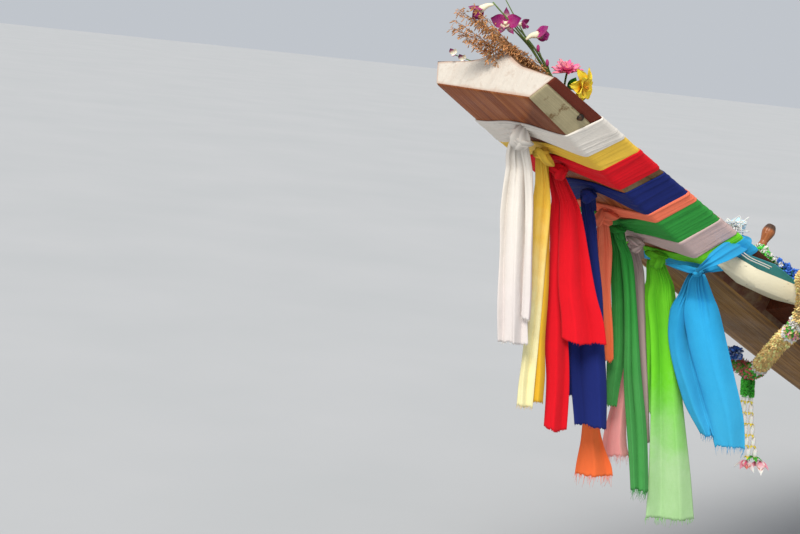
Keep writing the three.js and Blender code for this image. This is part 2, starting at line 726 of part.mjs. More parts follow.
function cradle() {
  const { rail, cross, lug, pin, saddle, collar } = CRADLE;
  const rails = sides.map((side) => block(...rail.size, rail.x, side * rail.y, 0));
  const crosses = cross.x.map((x) => block(...cross.size, x, 0, 0));
  const lugs = GUARD.x.map((x) => block(...lug.size, x, 0, lug.z));
  const [aft, fore] = GUARD.x;
  const corners = [[aft, GUARD.y], [aft, -GUARD.y], [fore, -GUARD.y], [fore, GUARD.y]];
  const uprights = corners.map(([x, y]) => rod([x, y, GUARD.foot], [x, y, GUARD.high], GUARD.radius, 8));
  const level = GUARD.high - 8;
  const tops = corners.map(([x, y], i) => {
    const [nextX, nextY] = corners[(i + 1) % 4];
    return rod([x, y, level], [nextX, nextY, level], GUARD.radius, 8);
  });
  const ring = rod([collar.aft, 0, CRANK], [collar.fore, 0, CRANK], TUBE_R + collar.wall, 16);
  const bore = rod([collar.aft - 35, 0, CRANK], [collar.fore + 35, 0, CRANK], TUBE_R + collar.slack, 16);
  const guard = [...lugs, ...uprights, ...tops];
  return cut(join(...rails, ...crosses, rod(...pin, 16), ...guard, block(...saddle), ring), bore);
}

function engineBlock() {
  const { crankcase, cylinders, sump, alternator, bracket, mount } = ENGINE;
  const mounts = mount.x.map((x) => block(...mount.size, x, 0, mount.under + mount.size[2] / 2 + GAP));
  return join(block(...crankcase), block(...cylinders), block(...sump), rod(...alternator, 16),
    block(...bracket), ...mounts);
}

function cylinderHead() {
  const { head, cover, cap } = HEAD_COVER;
  const x = ENGINE.cylinders[3];
  return join(
    block(...head, x, 0, CYLINDERS_TOP + head[2] / 2 + GAP),
    block(...cover, x, 0, CYLINDERS_TOP + head[2] + cover[2] / 2 - HEAD_COVER.sunk),
    rod([cap.x, 0, cap.from], [cap.x, 0, cap.to], cap.radius, 12),
  );
}

// A turned piece whose axis is the crankshaft's, its profile given as radius and place along
function onCrank(profile, x) {
  return turned(profile, 20).rotateZ(-Math.PI / 2).translate(x, 0, CRANK);
}

function bellHousing() {
  const { profile, front } = BELL;
  return onCrank(profile, front - profile[profile.length - 1][1] - GAP);
}

const crankPulley = () => onCrank(PULLEY.profile, PULLEY.back + GAP);
const airCleaner = () => join(rod(...AIR_CLEANER.can, 16), block(...AIR_CLEANER.neck));
const exhaustManifold = () => join(block(...MANIFOLD.log), block(...MANIFOLD.outlet));
const exhaustPipe = () => join(pipe(EXHAUST.route, EXHAUST.radius, 10, 8), rod(...EXHAUST.sleeve, 14));

function tiller() {
  return join(pipe(TILLER.route, TILLER.radius, 8, 10), rod(...TILLER.grip, 10), block(...TILLER.flange));
}

function shaftTube() {
  const tube = rod([SHAFT.front, 0, CRANK], [SHAFT.behind - TAIL, 0, CRANK], TUBE_R, 16);
  return join(tube, block(...SHAFT.fin), block(...SHAFT.skid));
}

// The cooling pipe lies under the shaft tube
function coolingPipe() {
  const z = CRANK - TUBE_R - COOLING.radius - 0.5 - GAP;
  return rod([COOLING.front, 0, z], [COOLING.behind - TAIL, 0, z], COOLING.radius, 10);
}

function propeller() {
  const { hub, end, blade, half: thin } = PROPELLER;
  const boss = rod([-TAIL - hub.half, 0, CRANK], [-TAIL + hub.half, 0, CRANK], hub.radius, 14);
  const shaftEnd = rod([-TAIL - end.aft, 0, CRANK], [SHAFT.behind - TAIL - GAP, 0, CRANK], end.radius, 12);
  const blades = [0, 1].map((k) => {
    const rings = blade.map(([radius, half, pitch]) => {
      const along = Math.cos(rad(pitch)) * half;
      const aside = Math.sin(rad(pitch)) * half;
      return [[-along, -aside - thin, radius], [-along, -aside + thin, radius],
        [along, aside + thin, radius], [along, aside - thin, radius]];
    });
    return loft(rings).rotateX(k * Math.PI).translate(-TAIL, 0, CRANK);
  });
  return join(boss, shaftEnd, ...blades);
}

// Assembly
const boat = new THREE.Group();
const tail = new THREE.Group();
tail.position.set(PIVOT.x, 0, PIVOT.z);
boat.add(tail);

function add(group, name, geometry, color, roughness = 0.7, metalness = 0) {
  const material = new THREE.MeshStandardMaterial({ color, roughness, metalness });
  const mesh = new THREE.Mesh(geometry, material);
  mesh.name = name;
  group.add(mesh);
  return mesh;
}

add(boat, 'stem_post', stemPost(), COLOUR.varnish, 0.45);
add(boat, 'keel_plank', keelPlank(), COLOUR.strake);
for (const [sideName, side] of [['port', 1], ['starboard', -1]]) {
  for (let index = 0; index < SEAMS.length - 1; index += 1) {
    add(boat, `strake_${sideName}_${index + 1}`, strake(index, side), COLOUR.strake);
  }
  add(boat, `gunwale_${sideName}`, gunwale(side), COLOUR.cream);
  add(boat, `rub_rail_${sideName}`, rubRail(side), COLOUR.blue);
  const lengths = {
    aft: [AFT_DECK.front + 20, FRAMES_MEET],
    fore: [FRAMES_MEET + SEAM, FOREDECK_END - 20],
  };
  for (const [place, length] of Object.entries(lengths)) {
    add(boat, `frames_${sideName}_${place}`, sideFrame(side, length), COLOUR.turquoise);
  }
}
add(boat, 'transom', transom(), COLOUR.strake);
add(boat, 'foredeck', foredeck(), COLOUR.turquoise);
add(boat, 'fore_bulkhead', foreBulkhead(), COLOUR.turquoise);
add(boat, 'aft_deck', aftDeck(), COLOUR.turquoise);
add(boat, 'aft_bulkhead', aftBulkhead(), COLOUR.turquoise);
add(boat, 'sole_boards', soleBoards(), COLOUR.sole);
THWART.x.forEach((x, i) => add(boat, `thwart_${i + 1}`, thwart(x), COLOUR.turquoise));

const POST = { wide: 90, bowX: 3050, bowHigh: 330, bowIn: 62, sternX: -4050, sternHigh: 440, sternIn: 150 };
for (const [sideName, side] of [['port', 1], ['starboard', -1]]) {
  const bowEdge = railInner(POST.bowX);
  const bowY = bowEdge - POST.bowIn;
  const bowZ = foreTop(POST.bowX + POST.wide / 2) + crown(bowY - POST.wide / 2, bowEdge) + GAP;
  const bow = add(boat, `bow_post_${sideName}`, post(POST.wide, POST.bowHigh), COLOUR.white);
  bow.position.set(POST.bowX, side * bowY, bowZ);
  const sternEdge = atHeight(POST.sternX, AFT_DECK.z, PLANK)[1];
  const sternY = sternEdge - POST.sternIn;
  const sternZ = AFT_DECK.z + crown(sternY - POST.wide / 2, sternEdge) + GAP;
  const stern = add(boat, `stern_post_${sideName}`, post(POST.wide, POST.sternHigh), COLOUR.white);
  stern.position.set(POST.sternX, side * sternY, sternZ);
}

const pegSeat = onSpine(PEG_S, 0, fair(SPINE, 2, PEG_S) + fair(SPINE, 4, PEG_S) + GAP);
const pegForm = turned(PEG, 10).rotateX(Math.PI / 2).rotateY(-spineAt(PEG_S).angle);
add(boat, 'bow_peg', pegForm, COLOUR.teakOrange, 0.4).position.set(...pegSeat);

const ENGINE_POST = { long: 160, wide: 190 };
const postFoot = AFT_DECK.z + DECK.crown + GAP;
const postTop = PIVOT.z + YOKE.bearing[0][2] - GAP;
const [postHigh, postMiddle] = [postTop - postFoot, (postTop + postFoot) / 2];
const enginePost = block(ENGINE_POST.long, ENGINE_POST.wide, postHigh, PIVOT.x, 0, postMiddle);
add(boat, 'engine_post', enginePost, COLOUR.varnish);

SCARVES.forEach((row) => add(boat, `scarf_${row.name}`, scarf(row), row.colour, 0.85));
add(boat, 'bouquet', bouquet(), COLOUR.orchid, 0.8);
add(boat, 'neck_garland', neckGarland(), COLOUR.marigold, 0.7);
add(boat, 'garland_tassel', tassel(), COLOUR.petals, 0.8);
add(boat, 'deck_garland', deckGarland(), COLOUR.petals, 0.8);

add(tail, 'swivel_yoke', yoke(), COLOUR.iron, 0.6, 0.6);
add(tail, 'cradle', cradle(), COLOUR.grease, 0.6, 0.5);
add(tail, 'engine_block', engineBlock(), COLOUR.grease, 0.6, 0.5);
add(tail, 'cylinder_head', cylinderHead(), COLOUR.aluminium, 0.5, 0.7);
add(tail, 'bell_housing', bellHousing(), COLOUR.iron, 0.5, 0.6);
add(tail, 'crank_pulley', crankPulley(), COLOUR.steel, 0.4, 0.8);
add(tail, 'air_cleaner', airCleaner(), COLOUR.iron, 0.5, 0.4);
add(tail, 'exhaust_manifold', exhaustManifold(), COLOUR.rust, 0.8, 0.4);
add(tail, 'exhaust_pipe', exhaustPipe(), COLOUR.rust, 0.8, 0.4);
add(tail, 'tiller', tiller(), COLOUR.steel, 0.5, 0.6);
add(tail, 'shaft_tube', shaftTube(), COLOUR.iron, 0.5, 0.6);
add(tail, 'cooling_pipe', coolingPipe(), COLOUR.steel, 0.5, 0.6);
add(tail, 'propeller', propeller(), COLOUR.brass, 0.35, 0.9);

export default boat;
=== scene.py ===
"""A wooden longtail boat afloat, its raked stem dressed with tied scarves, flowers and garlands.

Metres, +X to the bow, +Y to port, +Z up. The origin is amidships on the waterline.
"""
import math

import bmesh
import bpy
import numpy as np
from mathutils import Matrix, Vector
from mathutils.bvhtree import BVHTree


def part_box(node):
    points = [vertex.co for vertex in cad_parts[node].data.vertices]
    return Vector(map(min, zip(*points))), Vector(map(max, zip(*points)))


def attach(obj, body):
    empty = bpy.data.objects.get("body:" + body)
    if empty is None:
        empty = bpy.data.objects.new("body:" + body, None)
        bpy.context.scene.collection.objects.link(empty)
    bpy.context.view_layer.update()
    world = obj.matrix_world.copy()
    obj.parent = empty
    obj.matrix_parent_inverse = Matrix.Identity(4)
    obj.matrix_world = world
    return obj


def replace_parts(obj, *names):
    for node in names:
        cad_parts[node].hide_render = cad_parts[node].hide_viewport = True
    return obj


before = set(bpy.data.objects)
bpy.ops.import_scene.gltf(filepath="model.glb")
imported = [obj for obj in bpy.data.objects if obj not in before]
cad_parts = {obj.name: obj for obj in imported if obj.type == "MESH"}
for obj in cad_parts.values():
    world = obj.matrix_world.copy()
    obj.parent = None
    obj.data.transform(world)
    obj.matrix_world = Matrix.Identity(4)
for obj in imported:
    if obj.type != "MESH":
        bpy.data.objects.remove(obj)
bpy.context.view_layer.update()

# Camera, at the photo's viewing angle
EYE = (7.308, 2.864, 1.550)
HEADING = 232.0
PITCH = -8.085
ROLL = 6.22
LENS = 76.5
SENSOR_WIDE = 36
NEAREST_SEEN = 0.05

# The stem and keel, as in the CAD source
HEAD = (4.900, 1.425)
RAKE = [(0.0, 30.8), (1.2, 27.5), (3.29, 20.0), (5.3, 0.0)]
SPINE = [  # distance along, half width, depth, flare of the sides, ridge on top
    (0.00, 0.160, 0.060, 0.043, 0.042), (0.22, 0.152, 0.074, 0.043, 0.042),
    (0.45, 0.144, 0.086, 0.043, 0.042), (0.76, 0.147, 0.100, 0.043, 0.042),
    (1.10, 0.150, 0.110, 0.043, 0.042), (1.40, 0.150, 0.112, 0.032, 0.026),
    (1.70, 0.146, 0.105, 0.016, 0.002), (2.40, 0.134, 0.098, 0.002, 0.002),
    (3.30, 0.118, 0.084, 0.002, 0.002), (4.30, 0.100, 0.072, 0.002, 0.002),
]
STEM_LENGTH = 3.2996

# A tail hangs in a plane that faces this way
FACING = math.radians(52)
TOWARD = np.array((math.cos(FACING), math.sin(FACING), 0.0))
ACROSS = np.array((-math.sin(FACING), math.cos(FACING), 0.0))
DOWN = np.array((0.0, 0.0, -1.0))


def camera():
    """The scene's camera, looking along HEADING and PITCH and turned by ROLL."""
    data = bpy.data.cameras.new("camera")
    data.lens = LENS
    data.sensor_width = SENSOR_WIDE
    data.clip_start = NEAREST_SEEN
    obj = bpy.data.objects.new("camera", data)
    bpy.context.scene.collection.objects.link(obj)
    heading, pitch, roll = (math.radians(a) for a in (HEADING, PITCH, ROLL))
    ahead = Vector((math.cos(pitch) * math.cos(heading), math.cos(pitch) * math.sin(heading),
                    math.sin(pitch)))
    level = Vector((math.sin(heading), -math.cos(heading), 0.0))
    upright = level.cross(ahead)
    right = level * math.cos(roll) + upright * math.sin(roll)
    up = upright * math.cos(roll) - level * math.sin(roll)
    turn = Matrix((right, up, -ahead)).transposed()
    obj.matrix_world = Matrix.Translation(EYE) @ turn.to_4x4()
    bpy.context.scene.camera = obj


camera()


# Small maths

def smooth(t):
    """0 to 1 with soft ends, as t goes from 0 to 1."""
    t = np.clip(t, 0.0, 1.0)
    return t * t * (3 - 2 * t)


def fair(table, column, at):
    """Smooth value of one column of a table whose first column rises."""
    x = [row[0] for row in table]
    y = [row[column] for row in table]
    last = len(x) - 1
    if at <= x[0]:
        return y[0]
    if at >= x[last]:
        return y[last]
    k = max(i for i in range(last) if at >= x[i])
    span = x[k + 1] - x[k]

    def slope(i):
        if i in (0, last):
            return (y[k + 1] - y[k]) / span
        before = (y[i] - y[i - 1]) / (x[i] - x[i - 1])
        after = (y[i + 1] - y[i]) / (x[i + 1] - x[i])
        return 0.0 if before * after <= 0 else 2 * before * after / (before + after)

    u = (at - x[k]) / span
    m0, m1 = slope(k) * span, slope(k + 1) * span
    return ((2 * u**3 - 3 * u**2 + 1) * y[k] + (u**3 - 2 * u**2 + u) * m0
            + (3 * u**2 - 2 * u**3) * y[k + 1] + (u**3 - u**2) * m1)


def curve(points, t, column=1):
    """Smooth value at t of a short list of (place, value, ...) rows."""
    return np.array([fair(points, column, x) for x in np.atleast_1d(t)])


def wander(seed, t, size=1.0, waves=4):
    """A smooth wandering line, about -1 to 1 times size, that closes on itself where t goes from 0 to 1."""
    draw = np.random.default_rng(seed)
    total = np.zeros_like(np.asarray(t, float))
    for k in range(1, waves + 1):
        total = total + np.sin(2 * math.pi * (k * t + draw.random())) * (0.5 + draw.random()) / k
    return total * size * 0.6


# The spine is the lower face of the stem and keel, walked from the head

STEP = 0.02


def walk_spine():
    s, x, z = [0.0], [HEAD[0]], [HEAD[1]]
    while s[-1] < SPINE[-1][0]:
        angle = math.radians(fair(RAKE, 1, s[-1] + STEP / 2))
        x.append(x[-1] - STEP * math.cos(angle))
        z.append(z[-1] - STEP * math.sin(angle))
        s.append(s[-1] + STEP)
    tilt = [math.radians(fair(RAKE, 1, at)) for at in s]
    return np.array(s), np.array(x), np.array(z), np.array(tilt)


TRACK = walk_spine()


def on_spine(s, across, up):
    """Points of the row frame from distance along the spine, across to port, and up from its lower face."""
    track_s, track_x, track_z, track_tilt = TRACK
    s = np.asarray(s, float)
    x = np.interp(s, track_s, track_x) + np.minimum(s, 0) * -math.cos(track_tilt[0])
    z = np.interp(s, track_s, track_z) + np.minimum(s, 0) * -math.sin(track_tilt[0])
    tilt = np.interp(s, track_s, track_tilt)
    return np.stack(np.broadcast_arrays(x - up * np.sin(tilt), across, z + up * np.cos(tilt)), axis=-1)


# Shapes: points, faces and tints that grow into one piece

class Shape:
    def __init__(self):
        self.points, self.faces, self.tints, self.slots, self.marks = [], [], [], [], []
        self.count = 0

    def add(self, points, faces, tint=(1.0, 1.0, 1.0), slot=0, marks=None):
        """marks is one (u, v) per point: the cloth's or the grain's own coordinates in metres."""
        points = np.asarray(points, float).reshape(-1, 3)
        tints = np.broadcast_to(np.asarray(tint, float), points.shape)
        self.points.append(points)
        self.tints.append(tints)
        self.marks.append(np.zeros((len(points), 2)) if marks is None
                          else np.asarray(marks, float).reshape(-1, 2))
        self.faces += [[i + self.count for i in face] for face in faces]
        self.slots += [slot] * len(faces)
        self.count += len(points)
        return self

    def piece(self, name, looks, slot, body="hull", flat=False):
        mesh = bpy.data.meshes.new(name)
        mesh.from_pydata(np.concatenate(self.points).tolist(), [], self.faces)
        looks = looks if isinstance(looks, (list, tuple)) else [looks]
        for look in looks:
            mesh.materials.append(look)
        mesh.polygons.foreach_set("material_index", self.slots)
        mesh.polygons.foreach_set("use_smooth", [not flat] * len(self.faces))
        tint = mesh.color_attributes.new("tint", "FLOAT_COLOR", "POINT")
        tints = np.concatenate(self.tints)
        tint.data.foreach_set("color", np.c_[tints, np.ones(len(tints))].astype(np.float32).ravel())
        marks = np.concatenate(self.marks).astype(np.float32)
        for axis, column in (("mark_u", 0), ("mark_v", 1)):
            layer = mesh.attributes.new(axis, "FLOAT", "POINT")
            layer.data.foreach_set("value", marks[:, column].copy())
        mesh.validate()
        mesh.update()
        obj = bpy.data.objects.new(name, mesh)
        bpy.context.scene.collection.objects.link(obj)
        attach(obj, body)
        return obj


def grid_faces(rows, columns, closed=False):
    """Quads of a grid of points stored row by row; closed joins the last column to the first."""
    faces = []
    for r in range(rows - 1):
        for c in range(columns if closed else columns - 1):
            d = (c + 1) % columns
            faces.append((r * columns + c, r * columns + d, (r + 1) * columns + d, (r + 1) * columns + c))
    return faces


def frames_along(path, up=(0, 0, 1)):
    """Side and upper directions along a path, carried without twist."""
    path = np.asarray(path, float)
    ahead = np.gradient(path, axis=0)
    ahead /= np.linalg.norm(ahead, axis=1)[:, None]
    side = np.cross(ahead[0], up)
    if np.linalg.norm(side) < 1e-3:
        side = np.cross(ahead[0], (1, 0, 0))
    sides = []
    for a in ahead:
        side = side - a * (side @ a)
        side = side / np.linalg.norm(side)
        sides.append(side)
    sides = np.array(sides)
    return ahead, sides, np.cross(sides, ahead)


def sweep(shape, path, wide, high=None, sides=12, tint=(1, 1, 1), slot=0, bulge=None, up=(0, 0, 1)):
    """A closed tube along a path. wide and high are its half sizes, one or one for each point."""
    path = np.asarray(path, float)
    _, across, above = frames_along(path, up)
    wide = np.broadcast_to(np.asarray(wide, float), len(path))
    high = wide if high is None else np.broadcast_to(np.asarray(high, float), len(path))
    turn = np.arange(sides) / sides * 2 * math.pi
    grow = np.ones((len(path), sides)) if bulge is None else bulge(np.linspace(0, 1, len(path))[:, None],
                                                                   turn[None, :])
    rings = (path[:, None] + across[:, None] * (np.cos(turn)[None, :] * wide[:, None] * grow)[..., None]
             + above[:, None] * (np.sin(turn)[None, :] * high[:, None] * grow)[..., None])
    points = np.concatenate([rings.reshape(-1, 3), path[:1], path[-1:]])
    faces = grid_faces(len(path), sides, closed=True)
    first, last, top = len(points) - 2, len(points) - 1, (len(path) - 1) * sides
    for c in range(sides):
        d = (c + 1) % sides
        faces.append((first, d, c))
        faces.append((last, top + c, top + d))
    length = np.concatenate([[0], np.cumsum(np.linalg.norm(np.diff(path, axis=0), axis=1))])
    marks = np.stack(np.broadcast_arrays(turn[None, :] * wide.mean(), length[:, None]), -1).reshape(-1, 2)
    marks = np.concatenate([marks, [[0, 0], [0, length[-1]]]])
    tint = np.asarray(tint, float)
    if tint.ndim == 2:
        tint = np.repeat(tint[:, None], sides, axis=1)
    if tint.ndim == 3:
        tint = np.concatenate([tint.reshape(-1, 3), tint[0, :1], tint[-1, :1]])
    shape.add(points, faces, tint, slot, marks)
    return rings


def bend(points, count):
    """A smooth path of count points through a few points."""
    points = np.asarray(points, float)
    at = np.linspace(0, 1, len(points))
    t = np.linspace(0, 1, count)
    k = np.clip((t * (len(points) - 1)).astype(int), 0, len(points) - 2)
    u = (t * (len(points) - 1) - k)[:, None]
    slope = np.gradient(points, at, axis=0) / (len(points) - 1)
    p0, p1, m0, m1 = points[k], points[k + 1], slope[k], slope[k + 1]
    return ((2 * u**3 - 3 * u**2 + 1) * p0 + (u**3 - 2 * u**2 + u) * m0
            + (3 * u**2 - 2 * u**3) * p1 + (u**3 - u**2) * m1)


# Node materials, built with short calls

class Look:
    """A material under construction. Its places are metres in the row frame."""

    def __init__(self, name, **shader):
        self.material = bpy.data.materials.new(name)
        self.material.use_nodes = True
        self.tree = self.material.node_tree
        self.shader = self.tree.nodes["Principled BSDF"]
        for socket, value in shader.items():
            self.put(self.shader.inputs[socket.replace("_", " ")], value)

    def put(self, socket, value):
        if isinstance(value, bpy.types.NodeSocket):
            self.tree.links.new(value, socket)
        elif isinstance(value, tuple) and len(value) == 3 and socket.type == "RGBA":
            socket.default_value = (*value, 1.0)
        else:
            socket.default_value = value

    def node(self, kind, inputs=(), **settings):
        made = self.tree.nodes.new("ShaderNode" + kind)
        for key, value in settings.items():
            setattr(made, key, value)
        for key, value in dict(inputs).items():
            self.put(made.inputs[key], value)
        return made

    def place(self, scale=(1, 1, 1), turn=(0, 0, 0)):
        where = self.node("TexCoord").outputs["Object"]
        turn = tuple(math.radians(a) for a in turn)
        turned = self.node("Mapping", {"Vector": where, "Rotation": turn}).outputs[0]
        return self.node("Mapping", {"Vector": turned, "Scale": scale}).outputs[0]

    def marks(self, scale=(1, 1, 1)):
        u = self.node("Attribute", attribute_name="mark_u").outputs["Fac"]
        v = self.node("Attribute", attribute_name="mark_v").outputs["Fac"]
        both = self.node("CombineXYZ", {"X": u, "Y": v}).outputs[0]
        return self.node("Mapping", {"Vector": both, "Scale": scale}).outputs[0]

    def noise(self, where, scale, detail=4.0, rough=0.55, swirl=0.0):
        inputs = {"Vector": where, "Scale": scale, "Detail": detail, "Roughness": rough, "Distortion": swirl}
        return self.node("TexNoise", inputs).outputs[0]

    def ramp(self, value, *stops):
        """stops are (place, grey or colour)."""
        made = self.node("ValToRGB", {0: value})
        entries = made.color_ramp.elements
        while len(entries) < len(stops):
            entries.new(0.5)
        for entry, (place, colour) in zip(entries, stops):
            entry.position = place
            colour = (colour,) * 3 if isinstance(colour, (int, float)) else colour
            entry.color = (*colour, 1.0)
        return made.outputs[0]

    def mix(self, share, a, b, blend="MIX"):
        made = self.node("Mix", data_type="RGBA", blend_type=blend)
        for socket, value in ((0, share), (6, a), (7, b)):
            self.put(made.inputs[socket], value)
        return made.outputs[2]

    def sum(self, kind, a, b=0.0):
        return self.node("Math", {0: a, 1: b}, operation=kind).outputs[0]

    def relief(self, height, depth, under=None):
        inputs = {"Height": height, "Strength": 1.0, "Distance": depth}
        if under is not None:
            inputs["Normal"] = under
        return self.node("Bump", inputs).outputs[0]

    def done(self, colour=None, rough=None, relief=None):
        for socket, value in (("Base Color", colour), ("Roughness", rough), ("Normal", relief)):
            if value is not None:
                self.put(self.shader.inputs[socket], value)
        return self.material


def varied(colour, factor):
    return tuple(min(1.0, c * factor) for c in colour)


CLOTH_DIRT = 0.12


def cloth_look(name, colour, pale, fade):
    """Cotton: slubs along and across, soft stains, and a faded share down the tail."""
    look = Look(name, Sheen_Weight=0.04, Sheen_Roughness=0.5, Specular_IOR_Level=0.10)
    weft = look.noise(look.marks((1400, 60, 1)), 1.0, 2)
    warp = look.noise(look.marks((60, 1400, 1)), 1.0, 2)
    threads = look.sum("MULTIPLY", look.sum("ADD", weft, warp), 0.5)
    stains = look.noise(look.place(), 14, 5, 0.65)
    # The mesh's tint carries painted light and shade of folds, creases and knots, and for tails a factor on
    # the whole tail's brightness.
    tint = look.node("Attribute", attribute_name="tint").outputs["Color"]
    base = look.mix(1.0, colour, tint, "MULTIPLY")
    if pale:
        down = look.node("Attribute", attribute_name="mark_v").outputs["Fac"]
        cloudy = look.sum("ADD", look.sum("MULTIPLY", down, 1.6), look.sum("MULTIPLY", stains, 0.35))
        base = look.mix(look.ramp(cloudy, (fade[0], 0.0), (fade[1], 1.0)), base, pale)
    base = look.mix(look.ramp(stains, (0.35, CLOTH_DIRT), (0.62, 0.0)), base, varied(colour, 0.55))
    base = look.mix(look.ramp(threads, (0.3, 0.16), (0.6, 0.0)), base, varied(colour, 0.6))
    ripple = look.relief(look.noise(look.marks((70, 16, 1)), 1.0, 3), 0.0016)
    return look.done(base, 0.82, look.relief(threads, 0.0007, ripple))


def grain_look(name, dark, light, rough, weathered, turn=(0, 0, 0), coat=0.0, gloss=0.10):
    """Timber, with its grain along X, or along another way where turn says so."""
    look = Look(name, Coat_Weight=coat, Coat_Roughness=0.25, Specular_IOR_Level=gloss)
    fine = look.noise(look.place((6, 170, 170), turn), 1.0, 5, 0.6, 0.4)
    broad = look.noise(look.place((1.6, 22, 22), turn), 1.0, 3, 0.5, 0.8)
    both = look.sum("ADD", look.sum("MULTIPLY", fine, 0.55), look.sum("MULTIPLY", broad, 0.45))
    colour = look.ramp(both, (0.36, dark), (0.52, light), (0.66, varied(light, 1.25)))
    worn = look.noise(look.place(), 7, 6, 0.7)
    grey = tuple(0.7 * c + worn_to for c, worn_to in zip(light, (0.090, 0.065, 0.045)))
    colour = look.mix(look.ramp(worn, (0.50, 0.0), (0.68, weathered)), colour, grey)
    roughness = look.ramp(worn, (0.35, rough), (0.7, min(1.0, rough + 0.3)))
    return look.done(colour, roughness, look.relief(fine, 0.0012))


def paint_look(name, colour, under, wear, rough, dirt):
    """Brushed gloss paint on timber: brush marks along X, worn spots that show the wood, and grime."""
    look = Look(name, Specular_IOR_Level=0.5)
    brush = look.noise(look.place((5, 240, 240)), 1.0, 4, 0.6)
    cloud = look.noise(look.place(), 5, 6, 0.65)
    speck = look.noise(look.place((1, 2.2, 2.2)), 34, 6, 0.75)
    shade = look.mix(look.ramp(cloud, (0.35, dirt * 0.55), (0.62, 0.0)), colour, varied(colour, 0.5))
    shade = look.mix(look.ramp(brush, (0.4, 0.12), (0.6, 0.0)), shade, varied(colour, 0.75))
    chips = look.ramp(speck, (0.70 - 0.2 * wear, 0.0), (0.74 - 0.2 * wear, 1.0))
    shade = look.mix(chips, shade, under)
    height = look.sum("SUBTRACT", brush, look.sum("MULTIPLY", chips, 1.5))
    return look.done(shade, look.ramp(cloud, (0.3, rough), (0.7, rough + 0.25)), look.relief(height, 0.0008))


def metal_look(name, colour, metal, rough, grime, rust=0.0):
    """Used metal: grime in soft clouds, a fine grain and spots of rust."""
    look = Look(name, Metallic=metal)
    cloud = look.noise(look.place(), 11, 6, 0.7)
    fine = look.noise(look.place(), 90, 5, 0.7)
    shade = look.mix(look.ramp(cloud, (0.34, grime), (0.6, 0.0)), colour, (0.018, 0.014, 0.011))
    if rust:
        spots = look.ramp(look.noise(look.place(), 23, 7, 0.75), (0.5, 0.0), (0.64, rust))
        shade = look.mix(spots, shade, (0.19, 0.075, 0.03))
    return look.done(shade, look.ramp(cloud, (0.3, min(1, rough + 0.25)), (0.65, rough)),
                     look.relief(fine, 0.0009))


def petal_look(name, rough=0.6):
    """Petals and leaves: the tint is carried by the mesh, with veins and soft variation."""
    look = Look(name, Sheen_Weight=0.02, Subsurface_Weight=0.10, Subsurface_Scale=0.003,
                Specular_IOR_Level=0.2)
    tint = look.node("Attribute", attribute_name="tint").outputs["Color"]
    veins = look.noise(look.marks((900, 90, 1)), 1.0, 3)
    cloud = look.noise(look.place(), 120, 3)
    shade = look.mix(look.ramp(veins, (0.35, 0.22), (0.6, 0.0)), tint,
                     look.mix(1.0, tint, (0.6, 0.45, 0.5), "MULTIPLY"))
    shade = look.mix(look.ramp(cloud, (0.4, 0.0), (0.7, 0.05)), shade, (0.9, 0.85, 0.8))
    return look.done(shade, rough, look.relief(veins, 0.0004))


# Scarves: cloth colour and its faded colour

CLOTHS = {
    "white": ((0.84, 0.78, 0.70), (0.78, 0.71, 0.68)),
    "yellow": ((0.88, 0.56, 0.07), (0.93, 0.86, 0.48)),
    "red": ((0.76, 0.008, 0.018), None),
    "navy": ((0.012, 0.022, 0.15), None),
    "coral": ((0.96, 0.21, 0.11), (0.98, 0.18, 0.045)),
    "green": ((0.036, 0.31, 0.050), (0.07, 0.33, 0.08)),
    "mauve": ((0.60, 0.44, 0.415), None),
    "lime": ((0.17, 0.66, 0.028), (0.41, 0.63, 0.32)),
    "blue": ((0.028, 0.37, 0.70), (0.045, 0.40, 0.68)),
}

# Tails of another colour than their scarf
TAIL_CLOTHS = {
    "yellow_short": ((0.88, 0.50, 0.035), None),
    "mauve_frayed": ((0.98, 0.42, 0.40), None),
}
FADE = (0.35, 0.75)                # where a tail's colour starts and ends to fade
FADES = {"lime": (0.60, 0.98)}     # the same for a scarf that fades elsewhere

# Band: start and end along the stem at its corner, its width at the knot, its pleats and their depth
BANDS = {
    "white": (0.143, 0.232, 0.052, 9, 0.0017),
    "yellow": (0.229, 0.289, 0.040, 4, 0.0016),
    "red": (0.286, 0.371, 0.056, 3, 0.0020),
    "navy": (0.386, 0.489, 0.052, 4, 0.0022),
    "coral": (0.482, 0.520, 0.042, 3, 0.0018),
    "green": (0.514, 0.617, 0.046, 6, 0.0018),
    "mauve": (0.611, 0.689, 0.044, 3, 0.0018),
    "lime": (0.686, 0.723, 0.032, 2, 0.0016),
    "blue": (0.714, 0.775, 0.034, 3, 0.0018),
}
BAND_SLANT = 0.42
BAND_PULL = {"lime": 0.006, "blue": 0.018}     # how far aft of its knot a band is gathered
BAND_SAG = {"blue": 0.030}                     # how far its lower edge sags to starboard of the knot
SAG_REACH = 0.14
BAND_RISE = (0.0022, 0.0010)     # of every other band, so that each lies over the edge of the next
EDGE_TURN = 0.025                # share of a band's width over which its edge turns down

# Knot: its middle along the stem, across and out from the front face
KNOTS = {
    "white": (0.144, 0.021, 0.024), "yellow": (0.219, 0.033, 0.022), "red": (0.282, 0.019, 0.022),
    "navy": (0.386, 0.042, 0.022), "coral": (0.498, 0.004, 0.022), "green": (0.574, -0.015, 0.020),
    "mauve": (0.628, 0.006, 0.022), "lime": (0.698, 0.023, 0.024), "blue": (0.718, 0.142, 0.022),
}
